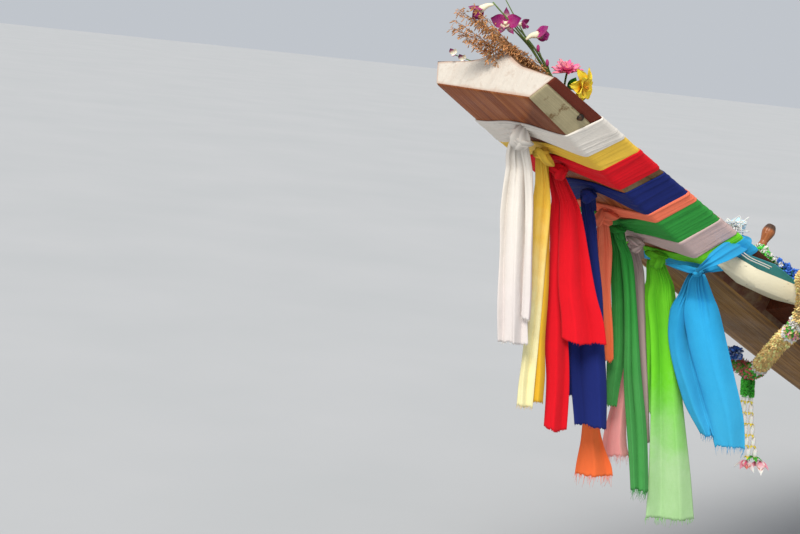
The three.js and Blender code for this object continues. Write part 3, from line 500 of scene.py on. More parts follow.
# The cloth rolls of each knot, in mm: to the right, up and forward of its middle, length, height, depth,
# tilt of the right end, pleats round it, twist along it, and where it is fullest (1 is the middle)
ROLLS = {
    "white": [(0, 2, 2, 64, 46, 34, 84, 6, 0.7, 0.72), (6, -4, 9, 54, 20, 24, -16, 4, 0.5, 1.0),
              (-8, 12, -4, 40, 26, 24, 40, 4, 0.4, 1.2)],
    "yellow": [(3, -2, 6, 62, 21, 22, -43, 4, 0.7, 0.9), (-8, 5, 0, 38, 26, 26, 10, 4, 0.5, 1.0)],
    "red": [(0, 4, 3, 58, 27, 28, -10, 5, 0.6, 1.35), (10, -4, 6, 36, 32, 28, 72, 5, 0.5, 0.9)],
    "navy": [(0, 2, 3, 40, 28, 28, -14, 4, 0.6, 1.0), (-2, -4, 6, 34, 24, 26, 60, 4, 0.5, 1.0)],
    "coral": [(-12, -2, 6, 48, 26, 30, 78, 5, 0.5, 0.9), (8, 5, 3, 54, 24, 24, -8, 4, 0.6, 0.8),
              (4, -9, 0, 38, 22, 22, -40, 3, 0.5, 1.0)],
    "green": [(-3, 4, 3, 48, 20, 24, -6, 4, 0.7, 1.0), (6, -6, 5, 36, 20, 24, -52, 4, 0.5, 1.0)],
    "mauve": [(-2, 7, 3, 50, 21, 24, -20, 5, 0.8, 1.1), (2, -6, 5, 34, 26, 26, 58, 5, 0.8, 1.0),
              (-8, -4, 0, 26, 22, 20, -60, 4, 0.5, 1.0)],
    "lime": [(-2, 12, 2, 60, 22, 24, -7, 4, 0.5, 0.85), (2, -4, 6, 48, 38, 28, 92, 6, 0.4, 1.35)],
    "blue": [(-1, -1, 6, 24, 15, 18, 30, 4, 0.6, 1.0), (-34, 0, -6, 92, 17, 13, -5, 3, 0.3, 1.3)],
}
# Where a scarf's tails start: along the stem, across, out from it, and how far down
TIES = {
    "white": (0.186, 0.000, 0.0225, 0.0075), "yellow": (0.262, 0.002, 0.0183, 0.0058),
    "red": (0.330, 0.006, 0.0207, 0.0068), "navy": (0.430, 0.022, 0.0195, 0.0063),
    "coral": (0.535, -0.026, 0.0213, 0.0070), "green": (0.600, -0.016, 0.0177, 0.0055),
    "mauve": (0.672, -0.010, 0.0189, 0.0060), "lime": (0.724, 0.026, 0.0195, 0.0063),
    "blue": (0.768, 0.108, 0.0189, 0.0060),
}

# Tails: scarf, way in front of the tie, folds, fringe, tint (painted light above 1, painted shade below 1),
# and rows of drop, left and right edge in mm
TAILS = {
    "white_long": ("white", 0, 1.6, 6, 1.0, [
        (0, -24, 14), (35, -38, 20), (134, -39, 31), (234, -31, 41), (335, -21, 48), (443, -10, 57)]),
    "white_short": ("white", 13, 0.9, 5, 1.05, [
        (0, -6, 14), (130, 15, 33), (229, 26, 43), (330, 30, 51), (383, 34, 55)]),
    "yellow_long": ("yellow", 0, 1.2, 6, 1.1, [
        (0, -20, 2), (98, -20, 20), (199, -12, 24), (300, -4, 28), (396, -4, 30), (505, -3, 33),
        (565, 1, 36)]),
    "yellow_short": ("yellow", -9, 1.0, 4, 0.85, [
        (0, -10, 8), (98, -4, 20), (199, 8, 31), (300, 16, 40), (396, 18, 46), (504, 26, 58), (554, 30, 59)]),
    "red_narrow": ("red", -6, 1.1, 3, 0.92, [
        (0, -22, -4), (62, -23, 5), (164, -12, 18), (253, -6, 30), (378, 3, 58), (470, 16, 69),
        (582, 25, 78)]),
    "red_wide": ("red", 11, 1.2, 4, 1.0, [
        (0, -14, 12), (57, -3, 42), (158, 8, 74), (258, 21, 105), (316, 32, 126), (367, 39, 138)]),
    "navy_long": ("navy", -4, 1.1, 5, 1.0, [
        (0, -22, 4), (111, -13, 24), (214, -10, 48), (326, -10, 66), (420, 0, 82), (528, 19, 94)]),
    "navy_short": ("navy", -15, 0.9, 3, 0.8, [
        (0, -20, 0), (113, -21, 11), (331, -22, 16), (460, -7, 30)]),
    "coral_narrow": ("coral", 6, 0.9, 3, 0.95, [
        (0, -14, 6), (58, -7, 24), (150, 7, 33), (224, 21, 44), (325, 40, 62)]),
    "coral_flared": ("coral", -16, 1.3, 22, 1.12, [
        (0, -14, 6), (180, -16, 20), (376, -2, 39), (493, 7, 52), (540, 9, 69), (596, 6, 98), (620, 6, 104)]),
    "green_short": ("green", -4, 1.2, 4, 0.7, [
        (0, -24, -2), (68, -21, 6), (123, -14, 16), (199, -5, 28), (307, -2, 43), (364, 6, 40),
        (414, 12, 38)]),
    "green_long": ("green", 8, 1.7, 18, 1.1, [
        (0, -14, 8), (63, 2, 30), (133, 17, 45), (232, 32, 65), (344, 45, 88), (460, 65, 112),
        (618, 95, 138)]),
    "mauve_narrow": ("mauve", -2, 1.0, 3, 0.68, [
        (0, -22, 2), (104, -7, 22), (280, 25, 49), (384, 46, 66), (463, 64, 81)]),
    "mauve_frayed": ("mauve", -20, 1.2, 20, 1.0, [
        (0, -22, 0), (118, -20, 9), (314, -17, 10), (396, -24, 16), (487, -31, 28), (515, -28, 36)]),
    "lime_long": ("lime", 8, 1.4, 14, 1.0, [
        (0, -22, 14), (68, -30, 36), (167, -12, 58), (281, 5, 78), (397, 17, 103), (514, 27, 130),
        (628, 38, 156)]),
    "lime_short": ("lime", -4, 1.1, 4, 0.85, [
        (0, -26, 0), (72, -40, 2), (173, -25, 10), (288, -12, 16), (370, -3, 18)]),
    "blue_long": ("blue", 9, 1.0, 16, 1.08, [
        (0, -12, 14), (24, -24, 30), (64, -26, 56), (152, -4, 92), (238, 29, 123), (350, 76, 161),
        (402, 98, 171)]),
    "blue_short": ("blue", -5, 1.1, 12, 0.82, [
        (0, -18, 6), (30, -36, 4), (86, -57, 6), (120, -58, 14), (295, 2, 68), (378, 54, 94)]),
}
TAIL_COLUMNS, TAIL_ROWS = 40, 84
CLOTH_THICK = 0.0012
CLOTH_CLEAR = 0.0006               # from the stem to the lowest cloth
RIDGE_CLEAR = 0.0050               # the cloth is taut over the ridge and clears its rounded top


def wrap_outline(s):
    """The stem's outline under cloth: across and up, from the front face's starboard edge."""
    half, deep, flare, ridge = (fair(SPINE, k, s) for k in (1, 2, 3, 4))
    side = half + flare
    top = deep + ridge + RIDGE_CLEAR
    return np.array([(-half, 0.0), (half, 0.0), (side, deep), (0.0, top), (-side, deep)])


def rounded(outline, count, start, corner=0.0045):
    """count points round an outline, corners rounded, starting from a place on its first edge."""
    total = len(outline)
    dense = []
    for i in range(total):
        a, b, c = outline[i - 1], outline[i], outline[(i + 1) % total]
        back, on = (a - b) / np.linalg.norm(a - b), (c - b) / np.linalg.norm(c - b)
        for t in np.linspace(0, 1, 7):
            dense.append(b + corner * ((1 - t) ** 2 * back + t**2 * on))
    dense = np.array(dense)
    first = int(np.argmin(np.abs(dense[:, 0] - outline[0, 0]) + np.abs(dense[:, 1] - outline[0, 1])))
    dense = np.roll(dense, -first, axis=0)
    loop = np.concatenate([[(start, outline[0, 1])], dense[dense_after(dense, start, outline)],
                           [(start, outline[0, 1])]])
    along = np.concatenate([[0], np.cumsum(np.linalg.norm(np.diff(loop, axis=0), axis=1))])
    at = np.linspace(0, along[-1], count, endpoint=False)
    return np.stack([np.interp(at, along, loop[:, k]) for k in (0, 1)], -1), along[-1]


def dense_after(dense, start, outline):
    """Order of the rounded outline's points, beginning past the start on the first edge."""
    on_edge = (np.abs(dense[:, 1] - outline[0, 1]) < 1e-6) & (dense[:, 0] > start)
    first = int(np.argmax(on_edge)) if on_edge.any() else 0
    return np.roll(np.arange(len(dense)), -first)


def lap(x):
    """Laid pleats, 0 to 1: each rises slowly and drops to the next in a narrow crease."""
    part = np.asarray(x, float) % 1.0
    return np.where(part < 0.84, smooth(part / 1.1) / 0.865, (1 - part) / 0.16)


def creases(v, t, count, seed, slant, wide):
    """Loose creases, 0 to about 1, that start and end anywhere. v runs across the band, t round it."""
    draw = np.random.default_rng(seed)
    total = np.zeros(np.broadcast(v, t).shape)
    for _ in range(count):
        middle, turn, long = draw.random(3) * (1.0, 1.0, 0.22) + (0, 0, 0.05)
        near = (t - turn + 0.5) % 1.0 - 0.5
        off = v - middle - draw.normal(0, slant) * near * 4 - 0.015 * np.sin(30 * near)
        across = off / (wide * (0.5 + draw.random()))
        form = np.where(across < 0, np.exp(1.2 * np.minimum(across, 0)), np.exp(-5.0 * np.maximum(across, 0)))
        total = total + form * smooth(1 - np.abs(near) / long) * (0.4 + 0.6 * draw.random())
    return total


SPINE_FAIR = {k: np.array([fair(SPINE, k, at) for at in TRACK[0]]) for k in (1, 2, 3, 4)}


def stem_share(column, s):
    return np.interp(s, TRACK[0], SPINE_FAIR[column])


def band(name, look):
    """Pleated cloth round the stem, gathered into the knot on its front face."""
    start, end, tight, pleats, deep = BANDS[name]
    knot_s, knot_y, _ = KNOTS[name]
    knot_s = knot_s + BAND_PULL.get(name, 0.0)
    seed = sum(map(ord, name))
    columns, rows = 144, 14 + 7 * pleats
    middle, wide = (start + end) / 2, end - start
    outline, girth = rounded(wrap_outline(middle), columns, knot_y)
    half = fair(SPINE, 1, middle)
    t = np.arange(columns) / columns
    near = np.minimum(t, 1 - t) * girth
    reach = np.where(t < 0.5, half - knot_y, half + knot_y)
    open_out = smooth(near / np.maximum(reach * 0.95, 0.03))
    v = np.linspace(0, 1, rows)[:, None]
    drift = wander(seed, t, 0.30)[None, :]
    pinch = (1 - open_out)[None, :]
    bent = v + 0.07 * np.sin(2 * math.pi * (v + 0.6 * drift)) + 0.03 * np.sin(9 * v + seed)
    fades = 0.30 + 0.25 * wander(seed + 4, t + 0.5, 1.0)[None, :]
    folds = lap(pleats * bent + drift) * deep * (np.clip(fades - 0.12, 0.0, 0.35) + 1.5 * pinch)
    folds = folds + lap(pleats * 1.7 * bent - 1.7 * drift + 0.4) * deep * 0.9 * pinch
    folds = folds + creases(v, t[None, :], 7 * pleats, seed, 0.20,
                            0.26 / pleats) * deep * (0.75 + 1.1 * pinch)
    flat = smooth(np.minimum(v, 1 - v) / EDGE_TURN)
    layer = BAND_RISE[list(BANDS).index(name) % 2]
    rise = CLOTH_CLEAR + flat * (layer + folds)
    centre = knot_s + (middle - knot_s) * open_out + BAND_SLANT * outline[:, 1]
    width = tight + (wide - tight) * open_out ** 0.7
    s = centre[None, :] + (v - 0.5) * width[None, :]
    s = s + wander(seed + 1, t, 0.0026)[None, :] * (2 * v - 1)
    sag = np.sin(math.pi * np.clip(near / SAG_REACH, 0, 1)) * (t > 0.5)
    s = s + BAND_SAG.get(name, 0.0) * sag[None, :] * v
    at = s - BAND_SLANT * outline[None, :, 1]
    side = (stem_share(1, at) + stem_share(3, at)) / (stem_share(1, middle) + stem_share(3, middle))
    high = stem_share(2, at) / stem_share(2, middle)
    tangent = np.roll(outline, -1, axis=0) - np.roll(outline, 1, axis=0)
    tangent = tangent / np.linalg.norm(tangent, axis=1)[:, None]
    across = outline[None, :, 0] * side + tangent[None, :, 1] * rise
    up = outline[None, :, 1] * high - tangent[None, :, 0] * rise
    points = on_spine(s, across, up)
    marks = np.stack(np.broadcast_arrays(v * wide, (t * girth * 0.2)[None, :]), -1)
    # Painted light and shade: darker in the pleats' valleys, lighter on their crests, and a little lighter
    # near the knot.
    valley = np.roll(folds, -1, axis=0) + np.roll(folds, 1, axis=0) - 2 * folds
    shade = np.clip(1.0 + 0.05 * pinch - valley / deep * 0.45 * (0.6 + pinch), 0.55, 1.1)
    shade = (shade[..., None] * np.ones(3)).reshape(-1, 3)
    shape = Shape().add(points, grid_faces(rows, columns, closed=True), shade, marks=marks)
    obj = shape.piece(f"band_{name}", look, f"cloth_{name}")
    thicken(obj, CLOTH_THICK)
    return obj, girth, wide


def thicken(obj, thick):
    made = obj.modifiers.new("thickness", "SOLIDIFY")
    made.thickness = thick
    made.offset = 0.0


def knot_directions():
    """Right, up and forward of the knots, which face the camera's side and lean with the stem."""
    outward = on_spine(0.4, 0.0, -1.0) - on_spine(0.4, 0.0, 0.0)
    front = TOWARD * 0.75 + outward * 0.4
    front = front / np.linalg.norm(front)
    up = np.array((0.0, 0.0, 1.0)) - front * front[2]
    up = up / np.linalg.norm(up)
    return np.cross(up, front), up, front


def knot_middle(name):
    s, across, out = KNOTS[name]
    return on_spine(s, across, -out)


def roll(shape, middle, along, front, size, pleats, twist, full, seed):
    """A short twisted roll of cloth with pleats along it, narrowing to both ends."""
    long, high, deep = (m / 1000 for m in size)
    t = np.linspace(0.012, 0.988, 40)
    profile = np.sin(math.pi * t ** full) ** 0.62
    path = middle + np.outer(t - 0.5, along) * long + np.outer(np.sin(math.pi * t) - 0.6, front) * deep * 0.25

    def creased(t, turn):
        return lap(pleats * turn / (2 * math.pi) + twist * t + 0.1 * np.sin(9 * t + seed)) - 0.5

    def bulge(t, turn):
        return 1 + 0.24 * creased(t, turn) + 0.06 * np.sin(2 * turn + 6 * t + seed) \
            + 0.04 * np.sin(15 * t + 3 * turn + seed)

    turn = np.arange(60)[None, :] / 60 * 2 * math.pi
    # Painted shade: darker in the pleats' creases and towards the roll's thin ends.
    shade = (0.86 + 0.30 * creased(t[:, None], turn)) * (0.62 + 0.38 * profile[:, None])
    sweep(shape, path, high / 2 * profile, deep / 2 * profile, 60, shade[..., None] * np.ones(3), bulge=bulge,
          up=tuple(front))


def knot(name, look):
    """Pleated rolls of cloth that cross over each other round the tails' upper ends."""
    middle = knot_middle(name)
    right, up, front = knot_directions()
    shape = Shape()
    for k, (x, y, z, long, high, deep, tilt, pleats, twist, full) in enumerate(ROLLS[name]):
        lean = math.radians(tilt)
        at = middle + (right * x + up * y + front * z) / 1000
        along = right * math.cos(lean) + up * math.sin(lean)
        roll(shape, at, along, front, (long, high, deep), pleats, twist, full, sum(map(ord, name)) + 5 * k)
    tie = tie_place(name)
    throat = bend([middle - front * 0.004, (middle + tie) / 2 + front * 0.002, tie + DOWN * 0.012], 16)
    size = np.linspace(0.013, 0.008, 16)

    def pleated(t, turn):
        return 1 + 0.22 * (lap(6 * turn / (2 * math.pi) + 0.3 * t) - 0.5)

    # The throat, tucked under the rolls, is tinted grey: painted shade.
    sweep(shape, throat, size, size * 0.7, 36, (0.6, 0.6, 0.6), up=tuple(front), bulge=pleated)
    return shape.piece(f"knot_{name}", look, f"cloth_{name}")


def tie_place(name):
    s, across, out, below = TIES[name]
    return on_spine(s, across, -out) + DOWN * below


def tail(name, look):
    """One hanging end: gathers fan out of the knot into a few soft folds, and the lower edge frays."""
    scarf, ahead, folds, fringe, tint, rows = TAILS[name]
    seed = sum(map(ord, name))
    draw = np.random.default_rng(seed)
    origin = tie_place(scarf) + TOWARD * (ahead / 1000)
    drop = rows[-1][0]
    v = np.linspace(0, 1, TAIL_ROWS)
    table = [(d / drop, left, right) for d, left, right in rows]
    left, right = curve(table, v, 1) / 1000, curve(table, v, 2) / 1000
    u = np.linspace(0, 1, TAIL_COLUMNS)
    length = drop / 1000
    wide = (right - left)[:, None]
    opened = smooth(v * length / 0.11)[:, None]
    drift = wander(seed, v * 0.45, 0.10)[:, None]
    wave = folds * u[None, :] + drift + draw.random()
    soft = np.minimum(0.0085, wide * 0.13) * opened * (
        np.sin(2 * math.pi * wave) + 0.22 * np.sin(4 * math.pi * wave + 1.3 + 2.0 * v[:, None]))
    gathers = max(3, round(float(wide.max()) / 0.021))
    uneven = u + 0.09 * np.sin(2 * math.pi * u * 1.3 + seed) + 0.03 * np.sin(17 * u)
    pleated = lap(gathers * uneven[None, :] + 0.6 * drift + draw.random()) - 0.5
    fan = np.minimum(0.0065, wide * 0.11) * (1 - opened) * pleated * 1.5
    kept = np.clip(wander(seed + 8, u * 0.9, 1.0), 0, 1)[None, :]
    crease = 0.0022 * pleated * kept * opened * (1 - smooth((v * length - 0.10) / 0.34))[:, None]
    curl = -0.006 * (2 * np.abs(u - 0.5)[None, :]) ** 4 * opened
    sway = wander(seed + 3, v * 0.5, 0.006)[:, None] * v[:, None]
    out = soft + fan + crease + curl + sway
    place = u[None, :] + 0.030 * np.sin(4 * math.pi * wave) * opened
    across = left[:, None] + wide * place + 0.002 * np.sin(9 * v + seed)[:, None] * v[:, None]
    ragged = (draw.random(TAIL_COLUMNS) - 0.5) * 0.005 + wander(seed + 5, u * 0.6, 0.004)
    fall = v[:, None] * length + ragged[None, :] * smooth((v - 0.9) / 0.1)[:, None]
    hang = (knot_middle(scarf) - tie_place(scarf)) * 0.8 * (1 - smooth(v * length / 0.05))[:, None]
    points = (origin + hang[:, None] + across[..., None] * ACROSS + out[..., None] * TOWARD
              + fall[..., None] * DOWN)
    marks = np.stack(np.broadcast_arrays(u[None, :] * wide.max(), fall), -1)
    # Painted light and shade: darker just under the knot, lighter where the folds stand forward and darker in
    # their hollows; tint, a factor on the whole tail's brightness, paints light above 1 and shade below 1.
    under = 1 - 0.28 * (1 - smooth(v * length / 0.045))[:, None]
    shade = np.clip(1 + 12.0 * (soft + fan * 1.5 + crease * 3), 0.78, 1.08) * under
    shade = (shade[..., None] * np.full(3, tint)).reshape(-1, 3)
    shape = Shape().add(points, grid_faces(TAIL_ROWS, TAIL_COLUMNS), shade, marks=marks)
    obj = shape.piece(f"tail_{name}", look, f"cloth_{scarf}")
    thicken(obj, CLOTH_THICK)
    threads = frayed(name, look, points[-1], fringe / 1000, seed, tint)
    spread = np.linalg.norm(np.diff(points, axis=1), axis=-1).sum(1)


# The blue scarf's end passes over the rail's nose and the ridge to the starboard side:
# middle, half width and the way it faces
SASH = [
    ((4.306, 0.157, 1.052), 0.004, (0.55, 0.66, 0.50)),
    ((4.323, 0.190, 1.071), 0.010, (0.55, 0.66, 0.50)),
    ((4.324, 0.213, 1.087), 0.015, (0.55, 0.66, 0.50)),
    ((4.296, 0.213, 1.099), 0.020, (0.55, 0.66, 0.50)),
    ((4.252, 0.200, 1.110), 0.023, (0.55, 0.66, 0.50)),
    ((4.180, 0.165, 1.118), 0.023, (0.55, 0.60, 0.55)),
    ((4.110, 0.110, 1.121), 0.023, (0.50, 0.45, 0.70)),
    ((4.062, 0.050, 1.116), 0.021, (0.45, 0.20, 0.85)),
    ((4.037, 0.000, 1.113), 0.021, (0.40, 0.00, 0.92)),
    ((4.053, -0.060, 1.102), 0.020, (0.35, -0.20, 0.90)),
    ((4.090, -0.125, 1.100), 0.019, (0.30, -0.40, 0.85)),
    ((4.128, -0.183, 1.107), 0.017, (0.20, -0.80, 0.50)),
    ((4.170, -0.199, 1.092), 0.016, (0.10, -1.00, 0.10)),
    ((4.205, -0.196, 1.075), 0.016, (0.10, -1.00, 0.10)),
]
SASH_STEPS, SASH_COLUMNS = 90, 30
SASH_HALF = 0.023     # its greatest half width


def sash(look):
    """The blue scarf's long end over the bow, pleated along its length."""
    at = np.linspace(0, 1, len(SASH))
    t = np.linspace(0, 1, SASH_STEPS)
    middle = bend([row[0] for row in SASH], SASH_STEPS)
    half = np.interp(t, at, [row[1] for row in SASH])
    facing = np.stack([np.interp(t, at, [row[2][k] for row in SASH]) for k in range(3)], -1)
    ahead = np.gradient(middle, axis=0)
    ahead = ahead / np.linalg.norm(ahead, axis=1)[:, None]
    across = np.cross(ahead, facing)
    across = across / np.linalg.norm(across, axis=1)[:, None]
    lifted = np.cross(across, ahead)
    v = np.linspace(-1, 1, SASH_COLUMNS)[None, :]
    t = t[:, None]
    size = half[:, None] / SASH_HALF
    pleats = lap(2.3 * (v + 1) / 2 + 0.9 * t + 0.25 * np.sin(7 * t)) - 0.5
    rise = (0.0034 + 0.0030 * (1 - size)) * pleats * (1.3 - 0.7 * t) + 0.006 * (1 - v**2) * size
    points = (middle[:, None] + across[:, None] * (half[:, None] * v)[..., None]
              + lifted[:, None] * rise[..., None])
    marks = np.stack(np.broadcast_arrays(v * 0.024, t * 0.4), -1)
    # Painted light and shade: darker in the pleats' creases, lighter on their tops.
    shade = (0.93 + 0.22 * pleats)[..., None] * np.ones(3)
    shape = Shape().add(points, grid_faces(SASH_STEPS, SASH_COLUMNS), shade.reshape(-1, 3), marks=marks)
    obj = shape.piece("sash_blue", look, "cloth_blue")
    thicken(obj, CLOTH_THICK)
    return obj


def frayed(name, look, edge, length, seed, tint):
    """Loose threads under a torn edge."""
    draw = np.random.default_rng(seed + 11)
    shape = Shape()
    count = int(14 + 60 * min(1.0, length / 0.02))
    for _ in range(count):
        k = draw.random() * (len(edge) - 1.001)
        i = int(k)
        start = edge[i] + (edge[i + 1] - edge[i]) * (k - i) + DOWN * -0.003
        long = length * (0.25 + draw.random() ** 2 * 1.3) + 0.003
        lean = ACROSS * (draw.random() - 0.5) * 0.5 + TOWARD * (draw.random() - 0.5) * 0.3
        path = bend([start, start + (DOWN + lean * 0.4) * long * 0.5, start + (DOWN + lean) * long], 5)
        # The threads take the tail's tint, a factor on its brightness: the same painted light and shade as
        # the tail.
        sweep(shape, path, np.linspace(0.0005, 0.0002, 5), sides=3, tint=(tint,) * 3)
    return shape.piece(f"threads_{name}", look, f"cloth_{TAILS[name][0]}")


def scarves():
    looks = {name: cloth_look(f"cloth_{name}", colour, pale, FADES.get(name, FADE))
             for name, (colour, pale) in CLOTHS.items()}
    for name, look in looks.items():
        wrap, girth, wide = band(name, look)
        pieces = [knot(name, look)]
        if name == "blue":
            pieces.append(sash(look))
        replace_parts(wrap, f"scarf_{name}")
    for name, row in TAILS.items():
        own = TAIL_CLOTHS.get(name)
        tail(name, cloth_look(f"cloth_{name}", *own, FADE) if own else looks[row[0]])


scarves()


# Flowers

MAGENTA, ROSE, CREAM = (0.26, 0.003, 0.13), (0.42, 0.02, 0.17), (0.90, 0.84, 0.60)
PINK, HOT_PINK, WHITE = (0.86, 0.36, 0.46), (0.78, 0.08, 0.20), (0.86, 0.85, 0.80)
YELLOW, GOLD, LEAF = (0.90, 0.70, 0.05), (0.88, 0.64, 0.26), (0.07, 0.52, 0.05)
STRAW, STALK, SKY = (0.50, 0.24, 0.085), (0.16, 0.26, 0.06), (0.06, 0.22, 0.80)
SALMON = (0.80, 0.20, 0.18)


def directions(facing):
    """Three directions at right angles: right, up and towards where a flower faces."""
    facing = np.asarray(facing, float) / np.linalg.norm(facing)
    right = np.cross((0, 0, 1), facing)
    if np.linalg.norm(right) < 1e-3:
        right = np.cross((1, 0, 0), facing)
    right = right / np.linalg.norm(right)
    return right, np.cross(facing, right), facing


def petal(shape, root, out, face, long, wide, tints, cup=0.25, curl=0.3, blunt=0.6, frill=0.0, rows=7,
          columns=5):
    """One petal from root, along out, its upper side to face. tints are at the root and at the tip."""
    out = out / np.linalg.norm(out)
    face = face - out * (face @ out)
    face = face / np.linalg.norm(face)
    side = np.cross(out, face)
    t = np.linspace(0, 1, rows)[:, None]
    u = np.linspace(-1, 1, columns)[None, :]
    width = wide / 2 * np.sin(math.pi * (0.06 + 0.90 * t ** (1 / (0.4 + blunt)))) ** blunt
    lift = cup * wide * 0.5 * u**2 + curl * long * t**2
    lift = lift + frill * wide * t * np.sin(u * 9 + 5 * t)
    reach = long * t * (1 - 0.10 * u**2 * t) * (1 - 0.12 * abs(curl) * t)
    points = root + reach[..., None] * out + (u * width)[..., None] * side + lift[..., None] * face
    first, last = np.asarray(tints[0], float), np.asarray(tints[1], float)
    blend = smooth((t - 0.15) / 0.6)[..., None] * np.ones_like(u)[..., None]
    tint = first + (last - first) * blend
    marks = np.stack(np.broadcast_arrays(u * wide / 2, t * long), -1)
    shape.add(points, grid_faces(rows, columns), tint.reshape(-1, 3), marks=marks)


def bead(shape, centre, size, tint, long=None, axis=(0, 0, 1), sides=6, rings=4):
    """A small round or long grain, pointed at both ends."""
    axis = np.asarray(axis, float) / np.linalg.norm(axis)
    long = size if long is None else long
    path = np.asarray(centre) + np.linspace(-1, 1, rings)[:, None] * axis * long
    sweep(shape, path, size * np.sqrt(np.clip(1 - np.linspace(-0.92, 0.92, rings) ** 2, 0, 1)), sides=sides,
          tint=tint)


def orchid(shape, centre, facing, size, roll, lean):
    """A dendrobium: two broad petals, three narrow sepals and a lip, on a short spur."""
    right, up, face = directions(facing)
    right, up = right * math.cos(roll) + up * math.sin(roll), up * math.cos(roll) - right * math.sin(roll)
    centre = np.asarray(centre, float)
    for sign in (1, -1):
        out = right * sign * 0.95 + up * 0.30
        petal(shape, centre, out + face * lean, face, size * 0.62, size * 0.52, (ROSE, MAGENTA), 0.1, 0.12,
              0.75, 0.02, 9, 7)
        out = right * sign * 0.55 - up * 0.75
        petal(shape, centre - face * 0.002, out + face * lean, face, size * 0.52, size * 0.24,
              (CREAM, MAGENTA), 0.2, 0.15, 0.7)
    petal(shape, centre - face * 0.003, up + face * lean, face, size * 0.60, size * 0.26, (CREAM, MAGENTA),
          0.2, 0.1, 0.7)
    petal(shape, centre + face * 0.002, face * 0.5 - up * 0.9, face, size * 0.45, size * 0.34,
          (CREAM, MAGENTA),
          0.7, 0.35, 0.7, 0.05, 9, 7)
    for sign in (1, -1):
        petal(shape, centre + face * 0.004, face * 0.8 + right * sign * 0.5, right * sign, size * 0.2,
              size * 0.18,
              (CREAM, ROSE), 0.4, 0.2, 0.6)
    bead(shape, centre + face * 0.007, size * 0.07, CREAM, size * 0.12, face - up * 0.3, 8, 5)
    long = size * (0.58 - 0.18 * lean)
    spur = bend([centre + face * size * 0.10 * lean, centre - face * long * 0.45,
                 centre - face * long - up * size * 0.12], 8)
    sweep(shape, spur, np.linspace(size * (0.09 + 0.05 * lean), size * 0.04, 8), sides=10, tint=CREAM)


# Rings of petals: how many, their share of the length, and their rise
PINK_RINGS = [(13, 1.0, 0.10), (12, 0.92, 0.45), (9, 0.78, 0.95), (6, 0.58, 1.8)]
YELLOW_RINGS = [(6, 1.0, 0.45), (4, 0.75, 1.1)]


def chrysanthemum(shape, centre, facing, size):
    """A pink flower with rings of narrow petals."""
    right, up, face = directions(facing)
    draw = np.random.default_rng(21)
    for ring, (count, long, rise) in enumerate(PINK_RINGS):
        for k in range(count):
            turn = 2 * math.pi * (k + 0.5 * ring) / count + (draw.random() - 0.5) * 0.2
            out = right * math.cos(turn) + up * math.sin(turn) + face * (rise + 0.3 * draw.random())
            reach = size * long * (0.85 + 0.3 * draw.random())
            tints = ((0.74, 0.04, 0.22), (0.90, 0.16 + 0.24 * draw.random(), 0.42))
            petal(shape, centre, out, face, reach, size * 0.30, tints, 0.6, 0.10 - 0.2 * draw.random(),
                  0.42, 0, 9, 5)
    bead(shape, centre + face * size * 0.15, size * 0.16, YELLOW, axis=face)


def frilly_flower(shape, centre, facing, size):
    """A yellow flower with broad frilled petals."""
    right, up, face = directions(facing)
    draw = np.random.default_rng(8)
    for ring, (count, long, rise) in enumerate(YELLOW_RINGS):
        for k in range(count):
            turn = 2 * math.pi * (k + 0.5 * ring) / count + (draw.random() - 0.5) * 0.3
            out = right * math.cos(turn) + up * math.sin(turn) + face * rise
            petal(shape, centre, out, face, size * long * (0.9 + 0.35 * draw.random()), size * 0.80,
                  ((0.90, 0.50, 0.01), (0.98, 0.74, 0.04)), 0.5, -0.55, 0.40, 0.060, 16, 11)
    for k in range(7):
        turn = 2.4 * k
        out = right * math.cos(turn) + up * math.sin(turn)
        bead(shape, centre + face * size * 0.30 + out * size * 0.06, size * 0.035, (0.70, 0.30, 0.01),
             size * 0.16, face + out * 0.4)


def sprig(shape, root, tips, seed):
    """Dried stalks with drooping seed heads."""
    draw = np.random.default_rng(seed)
    for tip in tips:
        tip = np.asarray(tip, float)
        middle = (root + tip) / 2 + draw.normal(0, 0.008, 3)
        path = bend([root, middle, tip], 30)
        sweep(shape, path, np.linspace(0.0017, 0.0006, 30), sides=5, tint=varied(STRAW, 0.8))
        for k in range(120):
            at = path[int(8 + 21.9 * draw.random() ** 0.8)]
            branch = draw.normal(0, 1, 3) + (tip - root) / np.linalg.norm(tip - root) * 1.2
            branch = branch / np.linalg.norm(branch)
            end = at + branch * (0.004 + 0.012 * draw.random()) + DOWN * 0.003
            sweep(shape, [at, (at + end) / 2 + DOWN * -0.001, end], 0.0004, sides=3, tint=varied(STRAW, 0.7))
            tint = varied(STRAW, 0.55 + 1.1 * draw.random())
            bead(shape, end + DOWN * 0.003, 0.0009 + 0.0006 * draw.random(), tint,
                 0.0032 + 0.0028 * draw.random(), branch + DOWN * 0.8, 5, 4)


BOUQUET_ROOT = np.array((4.668, 0.012, 1.425))
ORCHIDS = [  # centre, facing, size, roll, lean of the petals
    ((4.850, 0.000, 1.577), (0.80, 0.62, 0.05), 0.059, 0.10, 0.0),
    ((4.912, -0.010, 1.604), (0.78, -0.40, -0.62), 0.058, 0.9, 1.1),
    ((4.786, 0.028, 1.558), (-0.72, 0.66, 0.28), 0.060, -0.5, 1.2),
    ((4.816, 0.010, 1.578), (-0.45, 0.80, 0.10), 0.036, 0.6, 0.9),
]
SPRIG_TIPS = [
    (4.965, -0.02, 1.592), (4.972, -0.02, 1.568), (4.952, 0.01, 1.602), (4.958, -0.04, 1.552),
    (4.935, 0.02, 1.572),
    (4.948, -0.02, 1.540), (4.915, -0.03, 1.578), (4.905, 0.02, 1.548), (4.900, -0.01, 1.530),
    (4.885, -0.05, 1.575), (4.860, 0.03, 1.530), (4.850, -0.04, 1.545), (4.830, 0.04, 1.520),
    (4.820, -0.03, 1.540),
]


